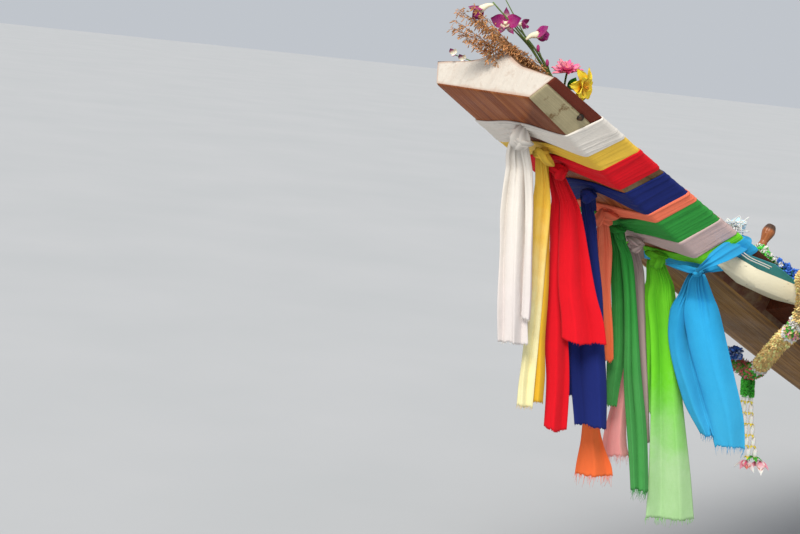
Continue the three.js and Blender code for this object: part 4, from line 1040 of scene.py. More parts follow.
def bouquet():
    look = petal_look("fresh_flowers")
    shape = Shape()
    for centre, facing, size, roll, lean in ORCHIDS:
        orchid(shape, centre, facing, size, roll, lean)
        back = np.asarray(centre) - np.asarray(facing) * size * 0.4
        route = [BOUQUET_ROOT, BOUQUET_ROOT * 0.45 + back * 0.55 + (0, 0, 0.012), back]
        sweep(shape, bend(route, 16), np.linspace(0.0030, 0.0016, 16), sides=8, tint=STALK)
    for tip in ((4.862, -0.01, 1.640), (4.752, 0.040, 1.500), (4.775, 0.030, 1.530)):
        route = [BOUQUET_ROOT, (BOUQUET_ROOT + tip) / 2 + (0.01, 0, 0.004), tip]
        sweep(shape, bend(route, 14), np.linspace(0.0026, 0.0010, 14), sides=7, tint=varied(STALK, 1.1))
        bead(shape, tip, 0.004, ROSE, 0.008, (0.2, 0, 1), 8, 5)
    for x, y, z in ((4.876, -0.140, 1.496), (4.848, -0.140, 1.485), (4.868, -0.030, 1.503)):
        tip = np.array((x, y, z))
        petal(shape, tip, np.array((0.4, -0.2, 0.7)), TOWARD, 0.016, 0.012, (CREAM, MAGENTA))
        petal(shape, tip, np.array((-0.3, 0.2, 0.8)), TOWARD, 0.014, 0.011, (WHITE, CREAM))
        petal(shape, tip, np.array((0.1, 0.4, -0.3)), TOWARD, 0.012, 0.010, (WHITE, MAGENTA))
        sweep(shape, bend([BOUQUET_ROOT + (0.10, -0.02, 0.03), tip - (0.03, 0, 0.006), tip], 10), 0.0012,
              sides=6,
              tint=STALK)
    fine_head = (4.747, 0.102, 1.484)
    chrysanthemum(shape, np.array(fine_head), (0.30, 0.30, 0.90), 0.036)
    frilly_flower(shape, np.array((4.730, 0.135, 1.458)), (-0.30, 0.90, -0.10), 0.040)
    for head in (fine_head, (4.730, 0.135, 1.456)):
        sweep(shape, bend([BOUQUET_ROOT, (BOUQUET_ROOT + head) / 2 + (0, 0, 0.012), head], 12), 0.0024,
              sides=8, tint=STALK)
    for out, long in (((0.5, 0.9, 0.5), 0.05), ((-0.4, 1.0, 0.3), 0.055), ((0.2, 0.6, 0.9), 0.045),
                      ((-0.6, 0.6, 0.8), 0.05)):
        petal(shape, BOUQUET_ROOT + (0.03, 0.05, 0.02), np.array(out), np.array((0, 0.2, 1.0)), long, 0.018,
              (varied(LEAF, 0.5), varied(LEAF, 0.8)), 0.3, -0.2)
    sprig(shape, BOUQUET_ROOT, SPRIG_TIPS, 4)
    obj = shape.piece("flower_bouquet", look, "fresh_flowers")
    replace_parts(obj, "bouquet")


bouquet()


# Garlands of threaded petals

GARLAND_RADIUS = 0.022
GARLAND_PORT = [
    (3.975, 0.222, 1.0406), (4.018, 0.246, 1.049), (4.058, 0.274, 1.052), (4.084, 0.302, 1.026),
    (4.092, 0.312, 0.985),
    (4.068, 0.276, 0.935), (4.015, 0.200, 0.887), (3.955, 0.115, 0.828), (3.895, 0.030, 0.768),
]
GARLAND_LOW = (3.884, 0.0, 0.757)
DECK_PATH = [(3.790, 0.060, 1.0121), (3.740, 0.110, 1.0034), (3.680, 0.130, 0.9972), (3.610, 0.110, 0.9887),
             (3.560, 0.060, 0.9827)]


def centripetal(points, count):
    """A smooth line through the points, evenly stepped, as the CAD tube's own route."""
    points = np.asarray(points, float)
    ends = np.concatenate([[2 * points[0] - points[1]], points, [2 * points[-1] - points[-2]]])
    line = []
    for p0, p1, p2, p3 in zip(ends, ends[1:], ends[2:], ends[3:]):
        t0 = 0.0
        t1 = t0 + np.linalg.norm(p1 - p0) ** 0.5
        t2 = t1 + np.linalg.norm(p2 - p1) ** 0.5
        t3 = t2 + np.linalg.norm(p3 - p2) ** 0.5
        t = np.linspace(t1, t2, 20, endpoint=False)[:, None]
        a = [(q - t) / (q - p) * m + (t - p) / (q - p) * n
             for p, q, m, n in ((t0, t1, p0, p1), (t1, t2, p1, p2), (t2, t3, p2, p3))]
        b = [(t2 - t) / (t2 - t0) * a[0] + (t - t0) / (t2 - t0) * a[1],
             (t3 - t) / (t3 - t1) * a[1] + (t - t1) / (t3 - t1) * a[2]]
        line.append((t2 - t) / (t2 - t1) * b[0] + (t - t1) / (t2 - t1) * b[1])
    line = np.concatenate(line + [points[-1:]])
    along = np.concatenate([[0], np.cumsum(np.linalg.norm(np.diff(line, axis=0), axis=1))])
    at = np.linspace(0, along[-1], count)
    return np.stack([np.interp(at, along, line[:, k]) for k in range(3)], -1), float(along[-1])


def threaded(shape, path, radius, colour_at, seed, pitch=0.0042, count=15, long=0.0085):
    """Petals packed round a thread, ring after ring, their tips standing out."""
    draw = np.random.default_rng(seed)
    ahead, across, above = frames_along(path)
    length = np.linalg.norm(np.diff(path, axis=0), axis=1).sum()
    # The core under the petals is dark gold: painted shade between the petals.
    sweep(shape, path, radius * 0.80, sides=14, tint=varied(GOLD, 0.45))
    rings = int(length / pitch)
    for ring in range(rings):
        t = (ring + 0.5) / rings
        k = t * (len(path) - 1)
        i = min(int(k), len(path) - 2)
        centre = path[i] + (path[i + 1] - path[i]) * (k - i)
        for j in range(count):
            turn = 2 * math.pi * (j + 0.5 * (ring % 2) + 0.3 * draw.random()) / count
            out = across[i] * math.cos(turn) + above[i] * math.sin(turn)
            root = centre + out * radius * 0.74
            tip = out * (0.75 + 0.3 * draw.random()) + ahead[i] * (draw.random() - 0.35) * 1.1
            side = np.cross(tip, ahead[i])
            side = side / np.linalg.norm(side)
            reach = long * (0.75 + 0.5 * draw.random())
            wide = long * 0.34
            tint = varied(colour_at(t, draw.random()), 0.7 + 0.5 * draw.random())
            top = root + tip * reach
            fold = ahead[i] * wide * 0.7
            points = [root - side * wide * 0.5, root + side * wide * 0.5,
                      root + tip * reach * 0.6 + side * wide,
                      top + fold * 0.4, root + tip * reach * 0.6 - side * wide,
                      root + tip * reach * 0.55 + fold]
            shape.add(points, [(0, 1, 5), (1, 2, 5), (2, 3, 5), (3, 4, 5), (4, 0, 5)], tint)


def neck_colour(t, chance):
    """Gold, with white, pink and green bands at both ends of each gold stretch."""
    y = abs(t - 0.5)
    if y < 0.028:
        return (SALMON, LEAF, SALMON)[int(chance * 3)]
    if y < 0.050:
        return (LEAF, SALMON, LEAF)[int(chance * 3)]
    if y < 0.064 or 0.262 < y < 0.278 or 0.312 < y < 0.330:
        return WHITE
    if 0.278 <= y <= 0.312:
        return (LEAF, PINK, GOLD)[int(chance * 3)]
    return GOLD if chance < 0.8 else varied(GOLD, 1.5)


def deck_colour(t, chance):
    """Blue, white and green clusters in turn."""
    band = int(t * 9) % 3
    return [(SKY, varied(SKY, 0.6)), (WHITE, WHITE), (varied(LEAF, 1.6), WHITE)][band][int(chance * 1.99)]


def garlands():
    look = petal_look("threaded_petals", rough=0.7)
    starboard = [(x, -y, z) for x, y, z in reversed(GARLAND_PORT)]
    path, length = centripetal(GARLAND_PORT + [GARLAND_LOW] + starboard, 200)
    shape = Shape()
    threaded(shape, path, GARLAND_RADIUS, neck_colour, 2)
    neck = shape.piece("petal_neck_garland", look, "gold_garland")
    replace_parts(neck, "neck_garland")
    ragged_flower(look)
    tassel(look)
    path, length = centripetal(DECK_PATH, 60)
    shape = Shape()
    threaded(shape, path, 0.017, deck_colour, 5, count=13, long=0.008)
    deck = shape.piece("petal_deck_garland", look, "white_garland")
    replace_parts(deck, "deck_garland")
    bow_tufts(look)


def tuft(shape, centre, radius, tints, seed, count, long=0.011):
    """A ball of small petals that stand out all round."""
    draw = np.random.default_rng(seed)
    for k in range(count):
        up = 1 - 2 * (k + 0.5) / count
        turn = 2.39996 * k
        out = np.array((math.sqrt(1 - up * up) * math.cos(turn), math.sqrt(1 - up * up) * math.sin(turn), up))
        face = np.cross(out, draw.normal(0, 1, 3))
        # Each petal is darker at its root: painted shade inside the ball.
        petal(shape, np.asarray(centre) + out * radius * 0.45, out + draw.normal(0, 0.2, 3), face,
              radius * 0.55 + long * 0.5 * draw.random(), long * 0.8,
              (varied(tints[k % len(tints)], 0.6), tints[k % len(tints)]), 0.5, 0.3, 0.6, 0, 4, 3)


def ragged_flower(look):
    shape = Shape()
    tuft(shape, (3.944, -0.004, 0.806), 0.017, [SKY, varied(SKY, 0.5), (0.3, 0.4, 0.7)], 3, 60, 0.016)
    x, y, z = GARLAND_PORT[0]
    for side in (1, -1):
        tuft(shape, (x, side * y, z), 0.018, [WHITE, PINK, varied(LEAF, 1.5)], 60 + side, 110, 0.012)
    return shape.piece("blue_flower", look, "fresh_flowers")


TASSEL_LONG = 0.216
TASSEL_SWING = 0.042


def tassel(look):
    """Under the neck garland: a green block, two strings of crown flowers and a bloom."""
    top = np.array(GARLAND_LOW) + DOWN * GARLAND_RADIUS
    t = np.linspace(0, 1, 60)[:, None]
    path = top + t * DOWN * TASSEL_LONG + (0.35 * t + 0.65 * t**2) * ACROSS * TASSEL_SWING
    shape = Shape()
    draw = np.random.default_rng(12)
    block = path[:12]
    sweep(shape, block, 0.014, sides=10, tint=varied(LEAF, 0.5))
    for k in range(620):
        at = block[int(draw.random() * 12)] + DOWN * 0.004 * draw.random()
        turn = 2 * math.pi * draw.random()
        out = np.array((math.cos(turn), math.sin(turn), 0.0))
        tip = out + np.array((0, 0, draw.random() - 0.6)) * 0.8
        petal(shape, at + out * 0.012, tip, np.cross(tip, (0.3, 0.2, 1)), 0.0075, 0.0048,
              (varied(LEAF, 0.7), varied(LEAF, 1.0 + 0.9 * draw.random())), 0.4, 0.2, 0.6, 0, 3, 3)
    for sign in (1, -1):
        string = path[11:] + ACROSS * sign * 0.0088
        sweep(shape, string, 0.0016, sides=6, tint=varied(WHITE, 0.8))
        for k in range(6):
            at = string[int((k + 0.35) / 6 * (len(string) - 1))] + TOWARD * 0.001 * math.sin(3 * k)
            bead(shape, at, 0.0064, WHITE, 0.0130, DOWN, 10, 7)
            for j in range(5):
                turn = 2 * math.pi * (j + 0.3 * k) / 5
                out = np.array((math.cos(turn), math.sin(turn), 0.0))
                petal(shape, at + DOWN * 0.009, out + DOWN * -0.10, DOWN * -1, 0.0120, 0.0070,
                      (varied(YELLOW, 0.8), YELLOW), 0.3, -0.7, 0.6, 0, 6, 3)
    hanging = shape.piece("petal_tassel", look, "white_garland")
    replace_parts(hanging, "garland_tassel")
    head = Shape()
    low = path[-1]
    for sign, size in ((1, 0.050), (-1, 0.046)):
        orchid_pale(head, low + ACROSS * sign * 0.018 + DOWN * -0.001 * sign, size, sign)
    for j in range(6):
        turn = 2 * math.pi * j / 6
        out = np.array((math.cos(turn), math.sin(turn), 0.1))
        petal(head, low + DOWN * -0.012, out, DOWN * -1, 0.026, 0.011, (varied(LEAF, 0.5), LEAF), 0.3, -0.4)
    bloom = head.piece("tassel_orchid", look, "fresh_flowers")
    float(np.linalg.norm(np.diff(path, axis=0), axis=1).sum())


def orchid_pale(shape, centre, size, sign):
    """A pink bloom that hangs face down, its white sepals spread sideways."""
    for k in range(5):
        turn = 2 * math.pi * k / 5 + 0.3 * sign
        out = ACROSS * math.cos(turn) * 1.2 + TOWARD * math.sin(turn) + DOWN * 0.55
        petal(shape, centre, out, DOWN * -1 + TOWARD * 0.3, size * (0.66 + 0.2 * (k % 2)), size * 0.34,
              (PINK, WHITE) if k % 2 else (HOT_PINK, PINK), 0.3, -0.25, 0.65, 0.03, 8, 5)
    petal(shape, centre, DOWN + TOWARD * 0.8, TOWARD, size * 0.6, size * 0.5, (WHITE, (0.90, 0.25, 0.22)),
          0.5, 0.2, 0.75,
          0.05, 8, 7)


# A loose string from under the blue cloth, over the turquoise board
STRING = [
    (4.212, 0.197, 1.103), (4.203, 0.2005, 1.097), (4.182, 0.2005, 1.088), (4.155, 0.2005, 1.080),
    (4.129, 0.2005, 1.073), (4.102, 0.2005, 1.065),
]
# How far each strand is moved aft. It is raised by half of that, so string_lower lies higher.
STRANDS = {"string_upper": 0.0, "string_lower": 0.007}
STRING_WIDE = 0.0028


def loose_string(name, aside, look):
    """One strand of the loose string, with a bare end."""
    path = bend([np.array(place) + (-aside, 0, aside * 0.5) for place in STRING], 40)
    shape = Shape()
    sweep(shape, path, STRING_WIDE / 2, sides=6, tint=varied(WHITE, 0.9))
    strand = shape.piece(name, look, "white_garland")
    length = float(np.linalg.norm(np.diff(path, axis=0), axis=1).sum())


def crumpled(shape, centre, radius):
    """A pale blue rag pressed into a ball, with sharp creases."""
    path = centre + np.linspace(-1, 1, 40)[:, None] * np.array((0.3, -0.5, 0.8)) * radius
    size = radius * np.sqrt(1 - np.linspace(-0.97, 0.97, 40) ** 2)

    def bulge(t, turn):
        return 1 + 0.20 * (lap(5 * turn / (2 * math.pi) + 1.5 * t) - 0.5) + 0.10 * np.sin(11 * t + 2 * turn)

    sweep(shape, path, size, sides=48, tint=(0.50, 0.72, 0.84), bulge=bulge)


def bow_tufts(look):
    """Balls of petals that rest between the blue scarf and the foredeck."""
    shape = Shape()
    green = varied(LEAF, 1.7)
    rows = [
        ((3.968, 0.052, 1.078), 0.022, [WHITE, WHITE, green, WHITE, green], 190),
        ((4.025, 0.06, 1.089), 0.012, [WHITE, green], 60),
        ((3.933, 0.05, 1.065), 0.014, [WHITE, WHITE, green], 80),
        ((3.907, 0.06, 1.054), 0.014, [WHITE, SKY], 80),
        ((3.879, 0.065, 1.039), 0.016, [SKY, SKY, varied(SKY, 0.7)], 110),
        ((3.846, 0.07, 1.024), 0.016, [SKY, varied(SKY, 0.7), SKY], 110),
        ((3.818, 0.075, 1.012), 0.014, [WHITE, WHITE, SKY], 80),
        ((3.850, 0.090, 1.029), 0.014, [SKY, varied(SKY, 0.7)], 70),
        ((3.832, 0.085, 1.026), 0.014, [WHITE, green], 60),
        ((3.812, 0.074, 1.020), 0.014, [green, WHITE, SKY], 60),
    ]
    for k, (centre, radius, tints, count) in enumerate(rows):
        tuft(shape, centre, radius, tints, 30 + k, count)
    crumpled(shape, np.array((4.070, 0.055, 1.146)), 0.021)
    sweep(shape, bend([row[0] for row in rows], 40), 0.007, sides=8, tint=varied(LEAF, 0.5))
    draw = np.random.default_rng(31)
    knotted = np.array((4.106, 0.070, 1.140))
    for k in range(18):
        loop = knotted + draw.normal(0, 1, (6, 3)) * (0.018, 0.016, 0.015)
        loop[0] = knotted + draw.normal(0, 0.006, 3)
        sweep(shape, bend(loop, 36), 0.0015, sides=6, tint=varied(WHITE, 0.75 + 0.25 * draw.random()))
    shape.piece("bow_tufts", look, "white_garland")
    for name, aside in STRANDS.items():
        loose_string(name, aside, look)


garlands()


# The stem post: painted end, varnished front face, painted sides with a groove and a dark upper strip

STEM_FRONT = 22       # strips over the front face
STEM_SIDE = [         # share of the side's height and how far it is cut in, in mm
    (0.04, 0), (0.15, 0), (0.30, 0), (0.45, 0), (0.58, 0), (0.645, 0.2), (0.655, 2.6), (0.685, 2.6),
    (0.695, 0.2), (0.78, 0), (0.90, 0), (0.97, 0),
]
FRONT, SIDE, STRIP, TOP, END = range(5)


def stem_section(s, shrink):
    """Round the stem: across, up and the kind of the face that starts there."""
    half, deep, flare, ridge = (fair(SPINE, k, s) for k in (1, 2, 3, 4))
    side = half + flare
    soft = 0.0035 + shrink
    points = []
    for i in range(STEM_FRONT + 1):
        points.append((-half + soft + (2 * half - 2 * soft) * i / STEM_FRONT, shrink, FRONT))
    port = [(half - soft * 0.3 - shrink * 0.7, soft * 0.3 + shrink * 0.7, SIDE)]
    for share, inset in STEM_SIDE:
        kind = STRIP if share >= 0.67 else SIDE
        port.append((half + flare * share - shrink - inset / 1000, deep * share + (1 - share) * shrink, kind))
    port.append((side - shrink - 0.001, deep - 0.001, TOP))
    for k in range(1, 6):
        across = side * (1 - k / 6)
        lift = 0.36 * ridge * min(1, (1 - across / side) / 0.58) if across / side > 0.42 else \
            ridge * (0.36 + 0.64 * (1 - across / side / 0.42))
        points_up = deep + lift - shrink
        port.append((across, points_up, TOP))
    points += port
    points.append((0.0, deep + ridge - shrink, TOP))
    for across, up, kind in reversed(port):
        points.append((-across, up, kind))
    return points


def stem_looks():
    varnish = Look("varnished_front", Coat_Weight=0.05, Coat_Roughness=0.22, Specular_IOR_Level=0.04)
    fine = varnish.noise(varnish.marks((230, 5, 1)), 1.0, 5, 0.6, 0.35)
    broad = varnish.noise(varnish.marks((42, 2.2, 1)), 1.0, 3, 0.5, 0.9)
    grain = varnish.sum("ADD", varnish.sum("MULTIPLY", fine, 0.5), varnish.sum("MULTIPLY", broad, 0.5))
    wood = varnish.ramp(grain, (0.34, (0.12, 0.028, 0.010)), (0.5, (0.30, 0.082, 0.026)),
                        (0.66, (0.46, 0.165, 0.052)))
    tint = varnish.node("Attribute", attribute_name="tint").outputs["Color"]
    wood = varnish.mix(1.0, wood, tint, "MULTIPLY")
    cloud = varnish.noise(varnish.place(), 9, 5, 0.65)
    wood = varnish.mix(varnish.ramp(cloud, (0.50, 0.0), (0.70, 0.18)), wood, (0.26, 0.105, 0.05))
    old = varnish.ramp(grain, (0.34, (0.100, 0.044, 0.011)), (0.5, (0.24, 0.118, 0.030)),
                       (0.66, (0.38, 0.205, 0.060)))
    down = varnish.node("Attribute", attribute_name="mark_v").outputs["Fac"]
    wood = varnish.mix(varnish.ramp(down, (0.70, 0.0), (0.82, 1.0)), wood, old)
    front = varnish.done(wood, varnish.ramp(cloud, (0.35, 0.32), (0.7, 0.6)), varnish.relief(fine, 0.0010))

    def aged(name, near, far, begin, end, stain, amount):
        look = Look(name, Specular_IOR_Level=0.12)
        down = look.node("Attribute", attribute_name="mark_v").outputs["Fac"]
        lines = look.noise(look.marks((190, 4, 1)), 1.0, 5, 0.65, 0.3)
        spots = look.noise(look.place(), 26, 6, 0.72)
        wide = look.noise(look.place(), 7, 5, 0.7)
        colour = look.mix(look.ramp(down, (begin, 0.0), (end, 1.0)), near, far)
        colour = look.mix(look.ramp(down, (0.72, 0.0), (0.80, 1.0)), colour, (0.085, 0.030, 0.018))
        colour = look.mix(look.ramp(lines, (0.36, 0.18), (0.58, 0.0)), colour, varied(far, 0.45))
        colour = look.mix(look.ramp(wide, (0.46, 0.0), (0.66, 0.5)), colour, varied(near, 0.6))
        colour = look.mix(look.ramp(spots, (0.55, 0.0), (0.64, amount)), colour, stain)
        return look.done(colour, 0.6, look.relief(lines, 0.0014))

    side = aged("painted_side", (0.47, 0.40, 0.235), (0.17, 0.100, 0.045), 0.2, 0.4, (0.17, 0.090, 0.030),
                0.8)
    strip = aged("side_strip", (0.17, 0.032, 0.018), (0.19, 0.11, 0.05), 0.2, 0.4, (0.05, 0.015, 0.010), 0.5)
    top = aged("stem_top", (0.16, 0.085, 0.045), (0.17, 0.075, 0.035), 0.3, 0.8, (0.06, 0.03, 0.02), 0.5)
    end = Look("painted_end", Specular_IOR_Level=0.25)
    tint = end.node("Attribute", attribute_name="tint").outputs["Color"]
    rough = end.noise(end.place(), 60, 6, 0.7)
    brush = end.noise(end.place((1, 40, 9)), 1.0, 5, 0.7)
    shade = end.mix(1.0, (0.66, 0.60, 0.52), tint, "MULTIPLY")
    shade = end.mix(end.ramp(rough, (0.54, 0.0), (0.68, 0.40)), shade, (0.46, 0.34, 0.26))
    shade = end.mix(end.ramp(brush, (0.35, 0.30), (0.55, 0.0)), shade, (0.52, 0.44, 0.37))
    both = end.sum("ADD", rough, brush)
    return [front, side, strip, top, end.done(shade, 0.75, end.relief(both, 0.0025))]


def head_lumps(across, s):
    """The head's upper edge is rough and worn: height to add there, fading within a few centimetres."""
    rough = wander(6, across * 1.6 + 0.3, 0.0022, 7) + 0.0080 * np.exp(-(across / 0.05) ** 2)
    return rough * smooth((0.06 - s) / 0.05)


def stem():
    rows = [(0.0, 0.0035), (0.0008, 0.0016), (0.0028, 0.0004), (0.006, 0.0)]
    rows += [(s, 0.0) for s in np.concatenate([np.arange(0.016, 1.5, 0.012), np.arange(1.51, 3.28, 0.045)])]
    rows += [(STEM_LENGTH, 0.0)]
    sections = [stem_section(s, shrink) for s, shrink in rows]
    columns = len(sections[0])
    points, tints, marks = [], [], []
    for (s, _), ring in zip(rows, sections):
        across = np.array([p[0] for p in ring])
        up = np.array([p[1] for p in ring])
        dents = 0.0006 * wander(5, s * 1.7 + across, 1.0)
        lumps = head_lumps(across, s) * smooth((up - 0.03) / 0.025)
        points.append(on_spine(s, across, up + dents * (up > 0.05) + lumps))
        patch = smooth((across + 1.07 * s - 0.16) / 0.02) * smooth((0.36 - s) / 0.08)
        worn = smooth((0.05 - s) / 0.05) * 0.25
        tint = np.stack([1 - 0.42 * patch - worn * 0.2, 1 - 0.40 * patch - worn * 0.1, 1 - 0.1 * patch], -1)
        tints.append(tint)
        marks.append(np.stack([across + up, np.full(columns, s)], -1))
    shape = Shape()
    faces = grid_faces(len(rows), columns, closed=True)
    shape.add(np.array(points), [f[::-1] for f in faces], np.array(tints).reshape(-1, 3),
              marks=np.array(marks))
    shape.slots = [sections[0][k % columns][2] for k in range(len(faces))]
    stem_end(shape)
    tail_ring = points[-1]
    shape.add(np.concatenate([tail_ring, [tail_ring.mean(0)]]),
              [(columns, c, (c + 1) % columns) for c in range(columns)], slot=TOP)
    obj = shape.piece("stem", stem_looks(), "varnished_wood")
    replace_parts(obj, "stem_post")
    bolts = Shape()
    for s, share in ((0.131, 0.60), (0.90, 0.55), (1.15, 0.5), (1.45, 0.5), (2.1, 0.5)):
        half, deep, flare = (fair(SPINE, k, s) for k in (1, 2, 3))
        for side in (1, -1):
            at = on_spine(s, side * (half + flare * share), deep * share)
            sweep(bolts, [at - (0, side * 0.004, 0), at + (0, side * 0.0045, 0), at + (0, side * 0.0065, 0)],
                  [0.0075, 0.0075, 0.005], sides=14)
    bolts.piece("stem_bolts", metal_look("old_bolt", (0.03, 0.025, 0.02), 0.5, 0.6, 0.6, 0.7), "black_iron")


def stem_end(shape):
    """The head's end face, painted over rough timber and worn to the wood at its edges."""
    half, deep, flare, ridge = (fair(SPINE, k, 0.0) for k in (1, 2, 3, 4))
    columns, rows = 61, 17
    a = np.linspace(-1, 1, columns)[None, :]
    f = np.linspace(0, 1, rows)[:, None]
    away = np.abs(a)
    rise = np.where(away > 0.42, 0.36 * ridge * (1 - away) / 0.58, ridge * (0.36 + 0.64 * (1 - away / 0.42)))
    up = 0.0028 + f * (deep + rise - 0.0058)
    up = up + head_lumps(a * (half + flare), 0.0) * smooth((up - 0.03) / 0.025)
    across = a * (half + flare * np.minimum(1, up / deep) - 0.0030)
    edge = np.minimum(np.minimum(f, 1 - f) * deep, (1 - away) * half)
    draw = np.random.default_rng(3).random((rows, columns))
    out = 0.0004 + 0.0012 * smooth(edge / 0.012) + 0.0006 * (draw - 0.5)
    points = on_spine(0.0, across, up) + np.stack(
        [out * math.cos(math.radians(30.8)), out * 0, out * math.sin(math.radians(30.8))], -1)
    bare = 1 - smooth(edge / (0.006 + 0.004 * wander(9, a * 0.5 + f * 0.3)))
    stain = smooth((0.16 - np.abs(a + 0.02)) / 0.14) * smooth((f - 0.55) / 0.4) * 0.5
    stain = stain * (0.6 + 0.4 * np.sin(70 * a + 3 * f))
    tint = 1 - bare[..., None] * np.array((0.22, 0.42, 0.50)) - stain[..., None] * np.array((0.5, 0.46, 0.42))
    shape.add(points, grid_faces(rows, columns), tint.reshape(-1, 3), END,
              np.stack(np.broadcast_arrays(across, up), -1).reshape(-1, 2))


stem()


# Finishes of the CAD pieces

def dress(node, look, body="hull", bevel=0.0, round_at=40):
    """The CAD piece itself in its finish: clean faces, soft edges, smooth where it curves."""
    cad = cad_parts[node]
    mesh = cad.data.copy()
    mesh.name = f"{node}_finish"
    mesh.materials.clear()
    mesh.materials.append(look)
    obj = bpy.data.objects.new(f"{node}_finish", mesh)
    bpy.context.scene.collection.objects.link(obj)
    bm = bmesh.new()
    bm.from_mesh(mesh)
    bmesh.ops.remove_doubles(bm, verts=bm.verts, dist=2e-5)
    bmesh.ops.dissolve_limit(bm, angle_limit=math.radians(0.6), verts=bm.verts, edges=bm.edges)
    bm.to_mesh(mesh)
    bm.free()
    if bevel:
        made = obj.modifiers.new("edges", "BEVEL")
        made.width = bevel
        made.segments = 2
        made.limit_method = "ANGLE"
        made.angle_limit = math.radians(round_at)
    mesh.shade_smooth()
    mesh.set_sharp_from_angle(angle=math.radians(round_at))
    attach(obj, body)
    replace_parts(obj, node)


def hull_finish():
    both = ("port", "starboard")
    dark = grain_look("dark_planks", (0.026, 0.006, 0.003), (0.076, 0.019, 0.008), 0.5, 0.05, coat=0.02,
                      gloss=0.04)
    cream = paint_look("cream_rail", (0.82, 0.75, 0.54), (0.17, 0.11, 0.06), 0.30, 0.42, 0.6)
    blue = rub_look()
    turquoise = paint_look("turquoise_deck", (0.05, 0.34, 0.36), (0.14, 0.09, 0.05), 0.28, 0.35, 0.9)
    white = paint_look("white_posts", (0.80, 0.79, 0.74), (0.16, 0.11, 0.07), 0.28, 0.4, 0.5)
    boards = grain_look("sole_timber", (0.12, 0.075, 0.042), (0.27, 0.17, 0.10), 0.7, 0.55)
    for side in both:
        for k in range(1, 5):
            dress(f"strake_{side}_{k}", dark, round_at=30)
        dress(f"gunwale_{side}", cream, bevel=0.004, round_at=50)
        dress(f"rub_rail_{side}", blue, bevel=0.005, round_at=50)
        for place in ("aft", "fore"):
            dress(f"frames_{side}_{place}", turquoise, bevel=0.002)
        dress(f"bow_post_{side}", white, bevel=0.006, round_at=30)
        dress(f"stern_post_{side}", white, bevel=0.006, round_at=30)
    dress("keel_plank", dark, bevel=0.004)
    athwart = grain_look("transom_planks", (0.026, 0.006, 0.003), (0.076, 0.019, 0.008), 0.5, 0.05,
                         (0, 0, 90), 0.02, 0.04)
    dress("transom", athwart, bevel=0.003)
    for node in ("foredeck", "fore_bulkhead", "aft_deck", "aft_bulkhead", "thwart_1", "thwart_2", "thwart_3"):
        dress(node, turquoise, bevel=0.003)
    dress("sole_boards", boards, bevel=0.002)
    deck_boards("foredeck", turquoise, "turquoise_paint", 11)
    deck_boards("aft_deck", turquoise, "turquoise_paint", 9)
    deck_boards("sole_boards", boards, "sole_timber", 8)
    peg()
    dress("engine_post", grain_look("post_timber", (0.08, 0.035, 0.02), (0.2, 0.10, 0.055), 0.6, 0.5),
          bevel=0.006)


BOARD_RISE = 0.0016
BOARD_GAP = 0.004
BOARD_EDGE = 0.003


def tree_of(node):
    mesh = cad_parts[node].data
    return BVHTree.FromPolygons([v.co for v in mesh.vertices], [p.vertices[:] for p in mesh.polygons])


def hit(tree, start, way):
    """Where a ray first meets a solid, or None."""
    return tree.ray_cast(Vector(start), Vector(way))[0]


def deck_boards(node, look, slot, count):
    """Single boards laid fore and aft over a deck, cut to its edge."""
    tree = tree_of(node)
    low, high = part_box(node)
    above = high.z + 0.05
    stations = np.arange(low.x + 0.003, high.x - 0.001, 0.03)
    across = np.arange(low.y, high.y + 0.001, 0.004)
    spans = []
    for x in stations:
        found = [y for y in across if hit(tree, (x, y, above), (0, 0, -1)) is not None]
        spans.append((min(found) + BOARD_GAP, max(found) - BOARD_GAP) if found else (0.0, 0.0))
    edges = np.linspace(low.y, high.y, count + 1)
    shape = Shape()
    for first, last in zip(edges, edges[1:]):
        rings = []
        for x, (start, end) in zip(stations, spans):
            a, b = max(first + BOARD_GAP / 2, start), min(last - BOARD_GAP / 2, end)
            tops = [hit(tree, (x, y, above), (0, 0, -1))
                    for y in np.linspace(a, b, 4)] if b - a > 0.01 else [None]
            if None in tops:
                continue
            top = [(t.x, t.y, t.z + BOARD_RISE) for t in tops]
            left, right = ((px, py, pz - BOARD_EDGE) for px, py, pz in (top[0], top[-1]))
            rings.append([left] + top + [right])
        if len(rings) > 2:
            rows = len(rings)
            faces = [face[::-1] for face in grid_faces(rows, 6)]
            faces += [tuple(range(6)), tuple(range(rows * 6 - 6, rows * 6))[::-1]]
            shape.add(np.array(rings), faces)
    shape.piece(f"{node}_planks", look, slot, flat=True)


PEG_PLACE = 1.038
PEG = [  # height and radius
    (0.0004, 0.0165), (0.009, 0.0168), (0.012, 0.0135), (0.016, 0.0115), (0.022, 0.0118), (0.026, 0.0138),
    (0.036, 0.0141), (0.044, 0.0135), (0.050, 0.0108), (0.058, 0.0098), (0.066, 0.0118), (0.076, 0.0150),
    (0.084, 0.0168), (0.090, 0.0166), (0.096, 0.0150), (0.102, 0.0128), (0.106, 0.0100), (0.1075, 0.0040),
]


